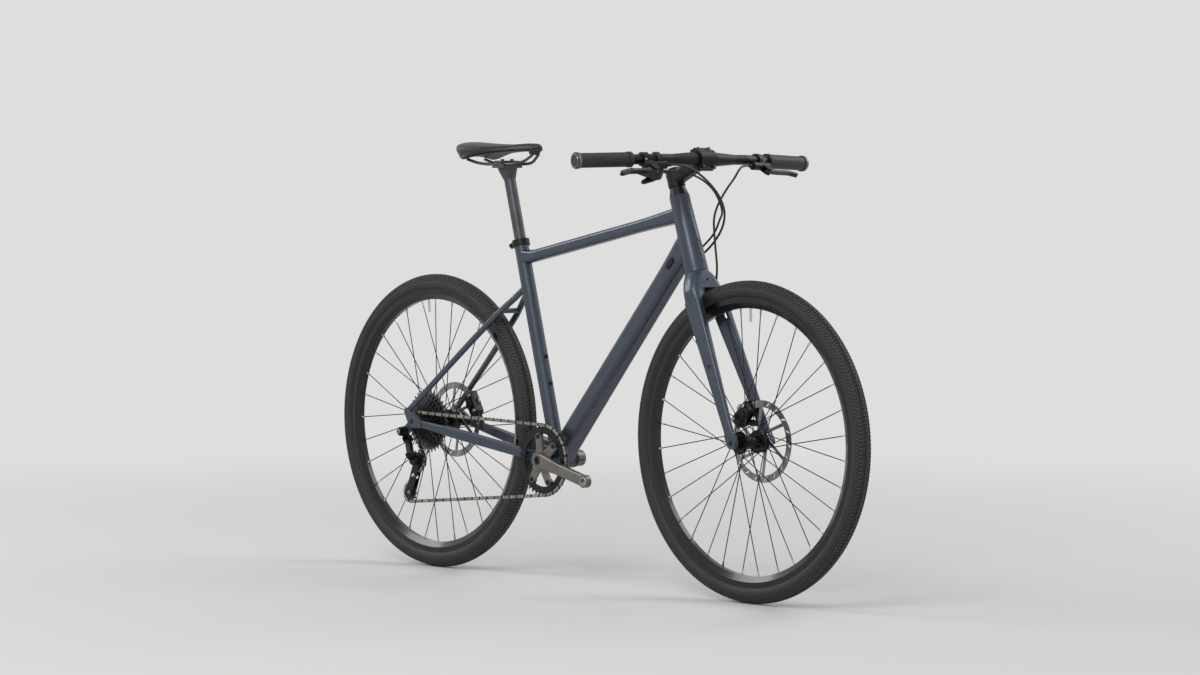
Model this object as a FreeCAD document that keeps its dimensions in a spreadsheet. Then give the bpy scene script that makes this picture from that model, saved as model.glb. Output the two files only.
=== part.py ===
import FreeCAD, Part
import math
import os

import Sketcher
from FreeCAD import Placement, Rotation, Vector

# Hybrid bicycle with flat handlebar, one chainring, nine cogs and disc brakes.
# Frame of the model: +X forward, +Y to the rider's left, +Z up.
# Its origin is on the ground, midway between the axles.
# Lengths are millimetres and angles are degrees.

SIZES = {
    # Layout of the bicycle
    "wheelbase": 1068,
    "tyre_diameter": 702,
    "bracket_drop": 70,
    "chainstay_length": 445,
    "seat_angle": 75,
    "seat_tube_length": 522,
    "head_angle": 71.5,
    "head_tube_length": 177,
    "fork_length": 402,
    "fork_offset": 44.5,
    "front_hub_width": 100,
    "rear_hub_width": 142,
    # Clearances and the overrun that every cut shares
    "running_clearance": 0.05,
    "part_gap": 0.3,
    "cut_overrun": 6,
    # Frame tubes
    "tube_wall": 1.7,
    "top_tube_front_width": 36,
    "top_tube_front_height": 35,
    "top_tube_rear_width": 29,
    "top_tube_rear_height": 27,
    "top_tube_corner": 9,
    "top_tube_flare": 10,
    "top_tube_head_drop": 41,
    "top_tube_seat_drop": 46,
    "down_tube_head_width": 44,
    "down_tube_head_height": 54,
    "down_tube_middle_width": 46,
    "down_tube_middle_height": 46,
    "down_tube_shell_width": 58,
    "down_tube_shell_height": 41,
    "down_tube_corner": 13,
    "down_tube_head_rise": 70,
    "seat_tube_radius": 17,
    "head_top_radius": 22.8,
    "head_bottom_radius": 26.5,
    "head_bore_radius": 18.5,
    "head_straight": 24,
    "shell_radius": 22,
    "shell_bore_radius": 17.2,
    "shell_width": 68,
    "chainstay_shell_height": 25,
    "chainstay_shell_width": 16,
    "chainstay_shell_spread": 25,
    "chainstay_tyre_spread": 35.5,
    "chainstay_tyre_width": 14,
    "chainstay_middle_spread": 54,
    "chainstay_rear_height": 18,
    "chainstay_shell_inset": 8,
    "seatstay_joint_drop": 112,
    "seatstay_joint_spread": 8,
    "seatstay_tyre_spread": 32,
    "seatstay_width": 12,
    "seatstay_height": 14.5,
    "stay_wall": 1.5,
    "stay_corner": 5,
    "stay_end_width": 8,
    "bridge_radius": 6,
    "dropout_thickness": 9,
    "dropout_axle_radius": 15,
    "seatstay_lug_back": 20,
    "seatstay_lug_rise": 24,
    "seatstay_lug_radius": 9,
    "chainstay_lug_ahead": 24,
    "chainstay_lug_drop": 4,
    "chainstay_lug_radius": 11,
    "hanger_back": 26,
    "hanger_drop": 24,
    "hanger_radius": 10,
    "hanger_thickness": 7,
    "hanger_bolt_radius": 5,
    # Seat clamp, cable ports and bottle bosses
    "collar_radius": 20.5,
    "collar_height": 15,
    "collar_ear_length": 12,
    "collar_ear_width": 17,
    "collar_slot": 2.5,
    "collar_bolt_radius": 2.5,
    "collar_bolt_head_radius": 4.2,
    "collar_bolt_head_length": 5,
    "port_length": 31,
    "port_height": 12,
    "port_thickness": 2.5,
    "port_from_head": 62,
    "boss_upper_height": 239,
    "boss_spacing": 64,
    "boss_radius": 5.5,
    "boss_flange": 1.4,
    "boss_length": 10,
    "boss_thread_radius": 2.5,
    "boss_wall_radius": 3.6,
    # Headset and steering
    "headset_gap": 1,
    "steerer_radius": 14.3,
    "steerer_wall": 2.2,
    "upper_bearing_radius": 20.5,
    "lower_bearing_radius": 23.5,
    "bearing_height": 7,
    "race_radius": 20,
    "cone_bottom_radius": 22,
    "cone_top_radius": 16.5,
    "cone_height": 21,
    "stem_clamp_height": 38,
    "stem_clamp_radius": 19,
    "stem_length": 98,
    "stem_rise_angle": 7,
    "stem_arm_width": 32,
    "stem_arm_height": 33,
    "stem_arm_corner": 10,
    "stem_face_width": 46,
    "stem_face_radius": 22,
    "faceplate_gap": 2,
    "faceplate_bolt_radius": 2.5,
    "faceplate_bolt_head_radius": 4.3,
    "faceplate_bolt_head_length": 4,
    "faceplate_lug_reach": 7,
    "faceplate_lug_depth": 7,
    "top_cap_height": 5,
    "top_cap_radius": 16,
    # Fork
    "crown_round_width": 53,
    "crown_shoulder_width": 77,
    "crown_shoulder_depth": 51,
    "crown_shoulder_corner": 21,
    "crown_width": 95,
    "crown_depth": 45,
    "crown_corner": 10,
    "crown_length": 66,
    "tyre_gap": 8,
    "tyre_slot_half": 27,
    "leg_bottom_width": 11,
    "leg_middle_depth": 35,
    "leg_bottom_depth": 25,
    "leg_corner": 6,
    "leg_wall": 2.2,
    "fork_tip_radius": 13,
    "fork_tip_thickness": 11,
    "leg_end": 384,
    "leg_boss_distance": 222,
    "leg_boss_radius": 5,
    "leg_boss_proud": 1.2,
    "crown_hole_radius": 3,
    "crown_hole_drop": 26,
    # Axles and hubs
    "axle_radius": 6,
    "axle_head_radius": 9.5,
    "axle_head_length": 5,
    "end_cap_radius": 9.5,
    "end_cap_length": 6,
    "hub_shell_radius": 13,
    "flange_radius": 25,
    "flange_thickness": 3.2,
    "flange_hole_circle": 21.5,
    "front_left_flange": 20,
    "front_right_flange": 33,
    "rear_left_flange": 34,
    "rear_right_flange": 21,
    "rotor_inset": 15.3,
    "rotor_seat_radius": 17,
    "rotor_shoulder_radius": 20,
    "freehub_radius": 17,
    "freehub_length": 40,
    # Rims, tyres and spokes
    "rim_bead_radius": 311,
    "rim_flange_height": 6,
    "rim_depth": 26,
    "rim_width": 27,
    "rim_spoke_bed_width": 12,
    "rim_wall": 2,
    "tyre_width": 40,
    "tyre_wall": 3,
    "spoke_count": 32,
    "spoke_crossings": 3,
    "spoke_radius": 1.1,
    "nipple_length": 12,
    "nipple_radius": 2.4,
    "spoke_bed_gap": 0.35,
    "spoke_rim_offset": 2.5,
    "outer_spoke_gap": 1.45,
    "front_spoke_angle": 95.625,
    "front_valve_angle": 90,
    "rear_spoke_angle": 0.9,
    "rear_valve_angle": 96.5,
    "valve_radius": 3,
    "valve_length": 30,
    # Disc rotors and calipers
    "rotor_radius": 90,
    "rotor_thickness": 1.8,
    "rotor_track": 15,
    "rotor_arm_width": 8,
    "rotor_arm_count": 6,
    "rotor_core_radius": 24,
    "rotor_slant_angle": 28,
    "rotor_slot_count": 18,
    "rotor_slot_half_angle": 1.3,
    "rotor_slot_lean_angle": 5,
    "rotor_slot_margin": 3,
    "lock_ring_radius": 21,
    "lock_ring_thickness": 3,
    "caliper_length": 62,
    "caliper_inboard": 11.5,
    "caliper_outboard": 12,
    "caliper_depth": 33,
    "caliper_slot": 5.2,
    "caliper_cover_radius": 10,
    "caliper_cover_height": 3,
    "caliper_corner": 8,
    "caliper_edge": 4,
    "caliper_room": 2,
    "caliper_foot_radius": 7,
    "caliper_foot_spread": 23,
    "rear_caliper_angle": 30,
    "caliper_reach": 79,
    "front_caliper_angle": 134,
    "pad_length": 26,
    "pad_height": 14,
    "pad_thickness": 1.2,
    # Bottom bracket and cranks
    "spindle_radius": 12,
    "spindle_wall": 2.4,
    "cup_radius": 21,
    "cup_width": 10,
    "crank_length": 175,
    "crank_angle": -12.5,
    "crank_hub_radius": 19,
    "crank_pedal_radius": 14.5,
    "crank_thickness": 15,
    "crank_pedal_thickness": 13,
    "crank_root_radius": 18,
    "crank_waist_radius": 13,
    "crank_end_radius": 13.5,
    "crank_corner": 4,
    "crank_inner_face": 52,
    "crank_pedal_face": 66,
    "crank_cap_radius": 10,
    "crank_cap_depth": 4,
    "pedal_thread_radius": 7.14,
    "pinch_slot": 2,
    "spider_bolt_circle": 55,
    "spider_pad_radius": 8.5,
    "spider_root_radius": 13,
    "spider_thickness": 6,
    "spider_near_angle": 51,
    "spider_far_angle": 112,
    "chainring_bolt_radius": 4,
    "chainring_bolt_head_radius": 5.6,
    "chainring_bolt_proud": 1.2,
    "chainring_line": 49,
    "chainring_thickness": 3.6,
    "chainring_inner_radius": 61,
    "chainring_web_radius": 74,
    "tooth_thickness": 1.8,
    # Chain, cassette and pulleys
    "chain_pitch": 12.7,
    "chain_plate_height": 8.2,
    "chain_plate_thickness": 0.85,
    "chain_inner_half": 1.3,
    "chain_plate_gap": 0.05,
    "roller_radius": 3.85,
    "tooth_gap_depth": 4.15,
    "tooth_gap_half": 2.7,
    "tooth_height": 3.6,
    "cog_step": 4.34,
    "cog_line": 64.5,
    "chainring_teeth": 40,
    "small_cog_teeth": 11,
    "pulley_teeth": 11,
    "pulley_bore_radius": 3,
    "pulley_thickness": 2.2,
    "lockring_radius": 16.5,
    "lockring_thickness": 2,
    # Rear derailleur
    "guide_ahead": 8,
    "guide_drop": 92,
    "cage_length": 84,
    "cage_plate_thickness": 1.8,
    "cage_half_gap": 4.4,
    "cage_plate_radius": 11,
    "cage_bolt_head_radius": 4.5,
    "cage_window_radius": 7,
    "cage_pivot_radius": 5,
    "cage_angle": -114,
    "cage_spread_angle": 24,
    "link_length": 45,
    "link_radius": 5,
    "link_height": 11,
    "link_pin_radius": 2,
    "link_clearance": 0.5,
    "link_spacing": 12,
    "link_lean_angle": 26,
    "link_swing_angle": 50,
    "link_slant_angle": 33,
    "link_fall_angle": 61,
    "knuckle_radius": 11,
    "knuckle_arm_radius": 8,
    "cheek_thickness": 3,
    "cheek_radius": 7.5,
    "knuckle_pin_back": 7,
    "knuckle_pin_rise": 14,
    "knuckle_thickness": 15,
    "hanger_bolt_head_radius": 8,
    "hanger_bolt_head_length": 5,
    # Seatpost and saddle
    "seatpost_radius": 13.6,
    "seatpost_wall": 2.2,
    "seatpost_insertion": 110,
    "seatpost_rise": 145,
    "clamp_rise": 38,
    "post_head_length": 46,
    "post_head_width": 30,
    "post_head_corner": 5,
    "cradle_length": 40,
    "cradle_height": 9,
    "rail_clamp_half": 42,
    "rail_clamp_width": 26,
    "rail_clamp_height": 8,
    "clamp_bolt_reach": 17,
    "clamp_bolt_head_length": 4,
    "saddle_length": 265,
    "saddle_width": 145,
    "saddle_back": 146,
    "saddle_rise": 53,
    "saddle_shell": 4,
    "rail_radius": 3.5,
    "rail_spread": 22,
    "rail_straight": 48,
    "rail_nose_spread": 9,
    "rail_nose_reach": 100,
    "rail_nose_rise": 20,
    "rail_tail_spread": 27,
    "rail_tail_reach": 112,
    "rail_tail_rise": 12.5,
    # Handlebar and controls
    "bar_width": 692,
    "bar_clamp_radius": 15.9,
    "bar_radius": 11.1,
    "bar_clamp_half": 32,
    "bar_taper_end": 95,
    "bar_bend": 130,
    "bar_sweep_angle": 9,
    "bar_drop_angle": 1.5,
    "bar_wall": 2,
    "grip_length": 142,
    "grip_radius": 16,
    "grip_ring_radius": 17.2,
    "grip_ring_width": 9,
    "plug_length": 4,
    "lever_clamp_inset": 172,
    "lever_clamp_radius": 15.5,
    "lever_clamp_width": 14,
    "lever_droop_angle": 32,
    "cylinder_reach": 25,
    "cylinder_radius": 9,
    "cylinder_inboard": 44,
    "cylinder_outboard": 14,
    "pivot_reach": 42,
    "pivot_inboard": 6,
    "pivot_radius": 3,
    "pivot_boss_radius": 8,
    "blade_length": 92,
    "blade_depth": 9,
    "blade_height": 9,
    "blade_hook": 7,
    "blade_lead": 5,
    "shifter_inboard": 32,
    "shifter_clamp_width": 9,
    "pod_radius": 20,
    "pod_height": 21,
    "pod_edge": 3,
    "pod_drop": 28,
    "pod_ahead": 8,
    "thumb_length": 46,
    "thumb_width": 13,
    "thumb_thickness": 4,
    "trigger_length": 34,
    "trigger_width": 10,
    "paddle_root_radius": 9,
    "thumb_angle": -40,
    "trigger_angle": 25,
    # Hoses and cable
    "hose_radius": 2.5,
    "cable_radius": 2.3,
    "hose_entry_ahead": 20,
    "hose_entry_spread": 32,
    "hose_entry_drop": 28,
    "fitting_radius": 4,
    "fitting_length": 12,
}

LOFT_STEPS = 4
COG_TEETH = (11, 13, 15, 17, 20, 23, 26, 30, 36)

doc = FreeCAD.newDocument("hybrid_bicycle")
sheet = doc.addObject("Spreadsheet::Sheet", "Dims")


class Size:
    """A size from the sheet, or a sum of such sizes: its value and the expression for it."""

    def __init__(self, value, text):
        self.value = float(value)
        self.text = text

    def __float__(self):
        return self.value

    def __add__(self, other):
        return Size(self.value + float(other), "(%s + %s)" % (self.text, text_of(other)))

    def __radd__(self, other):
        return Size(float(other) + self.value, "(%s + %s)" % (text_of(other), self.text))

    def __sub__(self, other):
        return Size(self.value - float(other), "(%s - %s)" % (self.text, text_of(other)))

    def __rsub__(self, other):
        return Size(float(other) - self.value, "(%s - %s)" % (text_of(other), self.text))

    def __mul__(self, other):
        return Size(self.value * float(other), "(%s * %s)" % (self.text, text_of(other)))

    def __rmul__(self, other):
        return Size(self.value * float(other), "(%s * %s)" % (text_of(other), self.text))

    def __truediv__(self, other):
        return Size(self.value / float(other), "(%s / %s)" % (self.text, text_of(other)))

    def __neg__(self):
        return Size(-self.value, "(0 - %s)" % self.text)


def text_of(value):
    """Expression text of a Size or of a plain number."""
    return value.text if isinstance(value, Size) else repr(float(value))


class Dimensions:
    """The sheet's named sizes as attributes."""


def fill_sheet():
    """Write the driving dimensions to the sheet and give them back by name."""
    named = Dimensions()
    for row, (name, value) in enumerate(SIZES.items(), 1):
        sheet.set("A%d" % row, name)
        sheet.set("B%d" % row, str(value))
        sheet.setAlias("B%d" % row, name)
    doc.recompute()
    for name in SIZES:
        setattr(named, name, Size(sheet.get(name), "Dims." + name))
    return named


D = fill_sheet()
NODES = {}

X = Vector(1, 0, 0)
Y = Vector(0, 1, 0)
Z = Vector(0, 0, 1)
RIGHT = -1
LEFT = 1
SIDES = {"right": RIGHT, "left": LEFT}


def unit(angle):
    """Direction in the mid-plane at an angle above +X."""
    return Vector(math.cos(math.radians(angle)), 0, math.sin(math.radians(angle)))


def axes(origin, along, ahead):
    """Placement whose local Z runs along one direction and local X ahead of it."""
    return Placement(origin, Rotation(ahead, along.cross(ahead), along, "ZXY"))


def across(direction):
    """A direction square to the given one, level where that is possible."""
    side = Z.cross(direction)
    return side.normalize() if side.Length > math.sin(math.radians(1)) else X


# Places that the whole layout hangs on
rear_axle = Vector(-D.wheelbase / 2, 0, D.tyre_diameter / 2)
front_axle = Vector(D.wheelbase / 2, 0, D.tyre_diameter / 2)
bracket_run = math.sqrt(float(D.chainstay_length) ** 2 - float(D.bracket_drop) ** 2)
bracket = rear_axle + Vector(bracket_run, 0, -D.bracket_drop)
seat_up = unit(180 - float(D.seat_angle))
seat_ahead = unit(90 - float(D.seat_angle))
seat_top = bracket + seat_up * float(D.seat_tube_length)
steer_up = unit(180 - float(D.head_angle))
steer_ahead = unit(90 - float(D.head_angle))
crown_run = math.sqrt(float(D.fork_length) ** 2 - float(D.fork_offset) ** 2)
crown_seat = front_axle - steer_ahead * float(D.fork_offset) + steer_up * crown_run
head_bottom = crown_seat + steer_up * float(D.headset_gap)
head_top = head_bottom + steer_up * float(D.head_tube_length)
stem_middle = head_top + steer_up * float(D.headset_gap + D.cone_height + D.stem_clamp_height / 2)
stem_rise = float(D.stem_rise_angle)
stem_ahead = unit(90 - float(D.head_angle) + stem_rise)
bar_middle = stem_middle + stem_ahead * float(D.stem_length)
steering = axes(head_bottom, steer_up, steer_ahead)


def bind(item, name, value):
    """Tie one property of a document object to the sheet."""
    item.setExpression(name, text_of(value))


def node(label, item):
    """Name a document object as one sub-part of the bicycle."""
    item.Label = label
    NODES[label] = item
    return item


def piece(name, shape):
    """A document object whose shape is worked out from the sheet's sizes."""
    item = doc.addObject("Part::Feature", name)
    item.Shape = shape
    item.Placement = shape.Placement
    return item


def feature(label, shape):
    """A sub-part whose shape is worked out from the sheet's sizes."""
    return node(label, piece(label, shape))


def several(label, shapes):
    """A sub-part of separate solids worked out from the sheet's sizes."""
    return feature(label, Part.makeCompound(shapes))


def rod(name, radius, length, start, along):
    """A cylinder bound to the sheet, from a start point along a direction."""
    item = doc.addObject("Part::Cylinder", name)
    bind(item, "Radius", radius)
    bind(item, "Height", length)
    item.Placement = Placement(start, Rotation(Z, along))
    return item


def block(name, length, width, height, place):
    """A box bound to the sheet, centred on the local origin of its placement."""
    item = doc.addObject("Part::Box", name)
    bind(item, "Length", length)
    bind(item, "Width", width)
    bind(item, "Height", height)
    item.Placement = place * Placement(Vector(-length / 2, -width / 2, -height / 2), Rotation())
    return item


def fused(name, items):
    """Several document objects joined to one solid."""
    item = doc.addObject("Part::MultiFuse", name)
    item.Shapes = items
    return item


def cut(name, base, tools):
    """A document object less some others."""
    item = doc.addObject("Part::Cut", name)
    item.Base = base
    item.Tool = tools[0] if len(tools) == 1 else fused(name + "_tools", tools)
    return item


def group(label, items):
    """Separate solids that share one node."""
    item = doc.addObject("Part::Compound", label)
    item.Links = items
    return node(label, item)


def origin_plane(body, role):
    """A body's own origin plane, found by its role."""
    return [item for item in body.Origin.OriginFeatures if item.Role == role][0]


def sketch_in(body, role, name):
    """A sketch attached to one of its body's origin planes."""
    sketch = body.newObject("Sketcher::SketchObject", name)
    sketch.AttachmentSupport = (origin_plane(body, role), [""])
    sketch.MapMode = "FlatFace"
    return sketch


def arc_through(start, end, radius, side):
    """The minor arc between two points that bulges right (+1) or left (-1) of the way it goes."""
    chord = end - start
    normal = Vector(chord.y, -chord.x, 0).normalize() * side
    rise = math.sqrt(radius ** 2 - (chord.Length / 2) ** 2)
    middle = (start + end) * 0.5 + normal * (radius - rise)
    return Part.ArcOfCircle(start, middle, end) if side == 1 else Part.ArcOfCircle(end, middle, start)


def pin_point(sketch, line, end, kind, value):
    """Hold one coordinate of a sketch point to the sheet, or to an axis where it is zero."""
    if float(value) == 0:
        axis = -2 if kind == "DistanceX" else -1
        sketch.addConstraint(Sketcher.Constraint("PointOnObject", line, end, axis))
        return
    index = sketch.addConstraint(Sketcher.Constraint(kind, -1, 1, line, end, float(value)))
    sketch.setExpression("Constraints[%d]" % index, text_of(value))


def draw_outline(sketch, corners):
    """A closed outline through (u, v) corners, bound to the sheet.

    A corner (u, v, radius, side) sends an arc of that radius to the next corner.
    """
    first = sketch.GeometryCount
    count = len(corners)
    points = [Vector(corner[0], corner[1], 0) for corner in corners]
    ends = []
    for index, corner in enumerate(corners):
        start = points[index]
        end = points[(index + 1) % count]
        if len(corner) == 4:
            sketch.addGeometry(arc_through(start, end, float(corner[2]), corner[3]), False)
        else:
            sketch.addGeometry(Part.LineSegment(start, end), False)
        line = sketch.Geometry[first + index]
        forward = (line.StartPoint - start).Length < (line.EndPoint - start).Length
        ends.append((1, 2) if forward else (2, 1))
    for index in range(count):
        after = (index + 1) % count
        link = ("Coincident", first + index, ends[index][1], first + after, ends[after][0])
        sketch.addConstraint(Sketcher.Constraint(*link))
    for index, corner in enumerate(corners):
        pin_point(sketch, first + index, ends[index][0], "DistanceX", corner[0])
        pin_point(sketch, first + index, ends[index][0], "DistanceY", corner[1])
        if len(corner) == 4:
            held = sketch.addConstraint(Sketcher.Constraint("Radius", first + index, float(corner[2])))
            sketch.setExpression("Constraints[%d]" % held, text_of(corner[2]))


def turned(name, corners, place):
    """A turned piece: its (radius, along) profile spun about the local Z axis."""
    body = doc.addObject("PartDesign::Body", name)
    sketch = sketch_in(body, "XZ_Plane", name + "_profile")
    draw_outline(sketch, corners)
    spin = body.newObject("PartDesign::Revolution", name + "_spin")
    spin.Profile = sketch
    spin.ReferenceAxis = (sketch, ["V_Axis"])
    spin.Angle = 360
    body.Placement = place
    return body


def ring(name, inner, outer, start, end, place):
    """A turned ring with a square section."""
    corners = [(inner, start), (outer, start), (outer, end), (inner, end)]
    return turned(name, corners, place)


def spun(corners, place):
    """The solid that an (r, z) profile closed on its axis sweeps, as a tool for mitres."""
    points = [Vector(corner[0], 0, corner[1]) for corner in corners]
    face = Part.Face(Part.makePolygon(points + points[:1]))
    solid = face.revolve(Vector(), Z, 360)
    solid.Placement = place
    return solid


def rounded(centre, side, up, width, height, corner):
    """A rounded rectangle as a wire: width along side, height along up."""
    most_share = 0.49
    corner = min(float(corner), most_share * min(float(width), float(height)))
    u = float(width) / 2
    v = float(height) / 2
    bend = corner * (1 - math.sqrt(0.5))

    def at(a, b):
        return centre + side * a + up * b

    edges = []
    for a, b in ((1, 1), (-1, 1), (-1, -1), (1, -1)):
        flat = at(a * (u - corner), b * v)
        tall = at(a * u, b * (v - corner))
        start, end = (tall, flat) if a * b > 0 else (flat, tall)
        edges.append(Part.Arc(start, at(a * (u - bend), b * (v - bend)), end).toShape())
        after = {(1, 1): (-1, 1), (-1, 1): (-1, -1), (-1, -1): (1, -1), (1, -1): (1, 1)}[(a, b)]
        c, d = after
        next_flat = at(c * (u - corner), d * v)
        next_tall = at(c * u, d * (v - corner))
        edges.append(Part.LineSegment(end, next_tall if c * d > 0 else next_flat).toShape())
    return Part.Wire(edges)


def lofted(wires):
    """A solid through a row of sections, straight from each to the next."""
    return Part.makeLoft(wires, True, True)


def ease_slopes(places, values):
    """Slopes of a smooth curve through the values that never overshoots them."""
    rows = zip(places, places[1:], values, values[1:])
    chords = [(end - start) / (high - low) for low, high, start, end in rows]
    inner = []
    for before, after in zip(chords, chords[1:]):
        inner.append(0 if before * after <= 0 else 2 * before * after / (before + after))
    return [chords[0]] + inner + [chords[-1]]


def eased(rows):
    """Rows of numbers, the first of each a share, with more rows between them on smooth curves."""
    rows = [[float(value) for value in row] for row in rows]
    places, *columns = zip(*rows)
    slopes = [ease_slopes(places, column) for column in columns]
    result = [rows[0]]
    for index, (low, high) in enumerate(zip(places, places[1:])):
        steps = 1 if rows[index][1:] == rows[index + 1][1:] else LOFT_STEPS
        for step in range(1, steps + 1):
            part = step / steps
            row = [low + (high - low) * part]
            for column, slope in zip(columns, slopes):
                start, end = column[index], column[index + 1]
                bend = (high - low) * (slope[index] * (1 - part) - slope[index + 1] * part)
                blend = part * part * (3 - 2 * part)
                row.append(start + (end - start) * blend + bend * part * (1 - part))
            result.append(row)
    return result


def hollow_loft(stations, side, up, wall):
    """A tube through stations (centre, width, height, corner) with a wall: its outside and inside."""
    outer = [rounded(c, side, up, w, h, r) for c, w, h, r in stations]
    inner = []
    for centre, width, height, corner in stations:
        inside = max(float(corner) - wall, wall)
        inner.append(rounded(centre, side, up, width - 2 * wall, height - 2 * wall, inside))
    return lofted(outer), lofted(inner)


def largest(shape):
    """The largest solid of a cut."""
    return max(shape.Solids, key=lambda solid: solid.Volume)


def bore(radius, start, end):
    """A round cutter from one point past another by the overrun at both ends."""
    along = (end - start).normalize()
    over = float(D.cut_overrun)
    return Part.makeCylinder(radius, (end - start).Length + 2 * over, start - along * over, along)


def pillar(radius, start, end):
    """A round bar from one point to another."""
    return Part.makeCylinder(radius, (end - start).Length, start, end - start)


def hull_face(circles):
    """The face inside the tight outline of circles (u, v, radius), listed anticlockwise."""
    count = len(circles)
    starts = []
    stops = []
    for index in range(count):
        u, v, radius = [float(value) for value in circles[index]]
        a, b, other = [float(value) for value in circles[(index + 1) % count]]
        gap = math.hypot(a - u, b - v)
        heading = math.atan2(b - v, a - u) + math.asin((radius - other) / gap)
        normal = Vector(math.sin(heading), -math.cos(heading), 0)
        starts.append(Vector(u, v, 0) + normal * radius)
        stops.append(Vector(a, b, 0) + normal * other)
    edges = []
    for index in range(count):
        u, v, radius = [float(value) for value in circles[index]]
        came = stops[index - 1] - Vector(u, v, 0)
        goes = starts[index] - Vector(u, v, 0)
        begin = math.atan2(came.y, came.x)
        sweep = (math.atan2(goes.y, goes.x) - begin) % (2 * math.pi)
        middle = begin + sweep / 2
        top = Vector(u + radius * math.cos(middle), v + radius * math.sin(middle), 0)
        edges.append(Part.Arc(stops[index - 1], top, starts[index]).toShape())
        edges.append(Part.LineSegment(starts[index], stops[index]).toShape())
    return Part.Face(Part.Wire(edges))


def hull(circles, thickness, place):
    """A plate with the tight outline of circles, from the local plane up along local Z."""
    solid = hull_face(circles).extrude(Vector(0, 0, thickness))
    solid.Placement = place
    return solid


def side_plane(centre, y):
    """Placement of an outline seen from the right: local X ahead, local Y up, local Z outwards."""
    return axes(Vector(centre.x, y, centre.z), -Y, X)


def prism(start, end, radius, sides):
    """A straight bar with a regular section of few sides."""
    along = end - start
    points = []
    for index in range(sides + 1):
        turn = 2 * math.pi * (index + 0.5) / sides
        points.append(Vector(radius * math.cos(turn), radius * math.sin(turn), 0))
    solid = Part.Face(Part.makePolygon(points)).extrude(Vector(0, 0, along.Length))
    along.normalize()
    solid.Placement = axes(start, along, across(along))
    return solid


def route_wire(points):
    """Straight runs joined by tangent arcs as large as the runs allow, and their radii."""
    share = 0.45
    edges = []
    radii = []
    last = points[0]
    for before, here, after in zip(points, points[1:], points[2:]):
        back = before - here
        on = after - here
        reach = share * min(back.Length, on.Length)
        turn = math.pi - back.getAngle(on)
        radius = reach / math.tan(turn / 2)
        start = here + back.normalize() * reach
        end = here + on.normalize() * reach
        bisector = (back + on).normalize()
        centre = here + bisector * math.hypot(radius, reach)
        middle = centre - bisector * radius
        edges.append(Part.LineSegment(last, start).toShape())
        edges.append(Part.Arc(start, middle, end).toShape())
        radii.append(radius)
        last = end
    edges.append(Part.LineSegment(last, points[-1]).toShape())
    return Part.Wire(edges), radii


def cord(name, points, radius):
    """A round cord along a route, checked against its section times its length."""
    wire, radii = route_wire(points)
    first = (points[1] - points[0]).normalize()
    start = Part.Wire(Part.makeCircle(radius, points[0], first))
    shell = Part.BRepOffsetAPI.MakePipeShell(wire)
    shell.add(start)
    shell.build()
    shell.makeSolid()
    solid = shell.shape()
    volume = math.pi * float(radius) ** 2 * wire.Length
    print(name, "length %.1f" % wire.Length, "volume ratio %.4f" % (solid.Volume / volume))
    print(name, "radii", " ".join("%.0f" % value for value in radii))
    return solid


# Frame

def head_profile(inner):
    """Outside of the head tube as (radius, along) corners, closed on the given inner radius."""
    straight = D.head_straight
    length = D.head_tube_length
    return [
        (inner, 0),
        (D.head_bottom_radius, 0),
        (D.head_bottom_radius, straight),
        (D.head_top_radius, length - straight),
        (D.head_top_radius, length),
        (inner, length),
    ]


def head_tube():
    """Head tube with a seat for each bearing."""
    length = D.head_tube_length
    corners = head_profile(D.lower_bearing_radius)[:5] + [
        (D.upper_bearing_radius, length),
        (D.upper_bearing_radius, length - D.bearing_height),
        (D.head_bore_radius, length - D.bearing_height),
        (D.head_bore_radius, D.bearing_height),
        (D.lower_bearing_radius, D.bearing_height),
    ]
    return node("head_tube", turned("head_tube", corners, steering))


def headset_bearings():
    """Upper and lower bearing rings in their seats."""
    inside = D.steerer_radius + D.running_clearance
    length = D.head_tube_length
    lower = ring("lower_bearing", inside, D.lower_bearing_radius, 0, D.bearing_height, steering)
    upper = ring("upper_bearing", inside, D.upper_bearing_radius, length - D.bearing_height, length, steering)
    return group("headset_bearings", [lower, upper])


across_frame = axes(bracket, Y, X)
shell_solid = Part.makeCylinder(D.shell_radius, D.shell_width, bracket - Y * float(D.shell_width / 2), Y)
head_solid = spun(head_profile(0), steering)
seat_tube_solid = Part.makeCylinder(D.seat_tube_radius, D.seat_tube_length, bracket, seat_up)


def bottom_bracket_shell():
    """Round shell for the crank bearings."""
    half = D.shell_width / 2
    return node("bottom_bracket_shell", ring(
        "bottom_bracket_shell", D.shell_bore_radius, D.shell_radius, -half, half, across_frame))


def seat_tube():
    """Seat tube, mitred to the shell, bored for the seatpost and slotted for its clamp."""
    length = D.seat_tube_length
    outside = rod("seat_tube_outside", D.seat_tube_radius, length, bracket, seat_up)
    inside = rod("seat_tube_inside", D.seatpost_radius + D.running_clearance,
                 length + D.cut_overrun, bracket, seat_up)
    start = bracket - Y * float(D.shell_width / 2)
    shell = rod("seat_tube_mitre", D.shell_radius, D.shell_width, start, Y)
    middle = axes(seat_top - seat_ahead * float(D.seat_tube_radius), seat_up, seat_ahead)
    slot = block("seat_tube_slot", D.seat_tube_radius, D.collar_slot, 2 * D.collar_height, middle)
    holes = []
    for place in boss_places():
        holes.append(rod("boss_hole", D.boss_wall_radius, D.seat_tube_radius, place, -seat_ahead))
    return node("seat_tube", cut("seat_tube", outside, [inside, shell, slot] + holes))


def boss_places():
    """Where the two bottle bosses meet the front of the seat tube."""
    face = seat_ahead * float(D.seat_tube_radius)
    upper = bracket + seat_up * float(D.boss_upper_height) + face
    return [upper, upper - seat_up * float(D.boss_spacing)]


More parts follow.
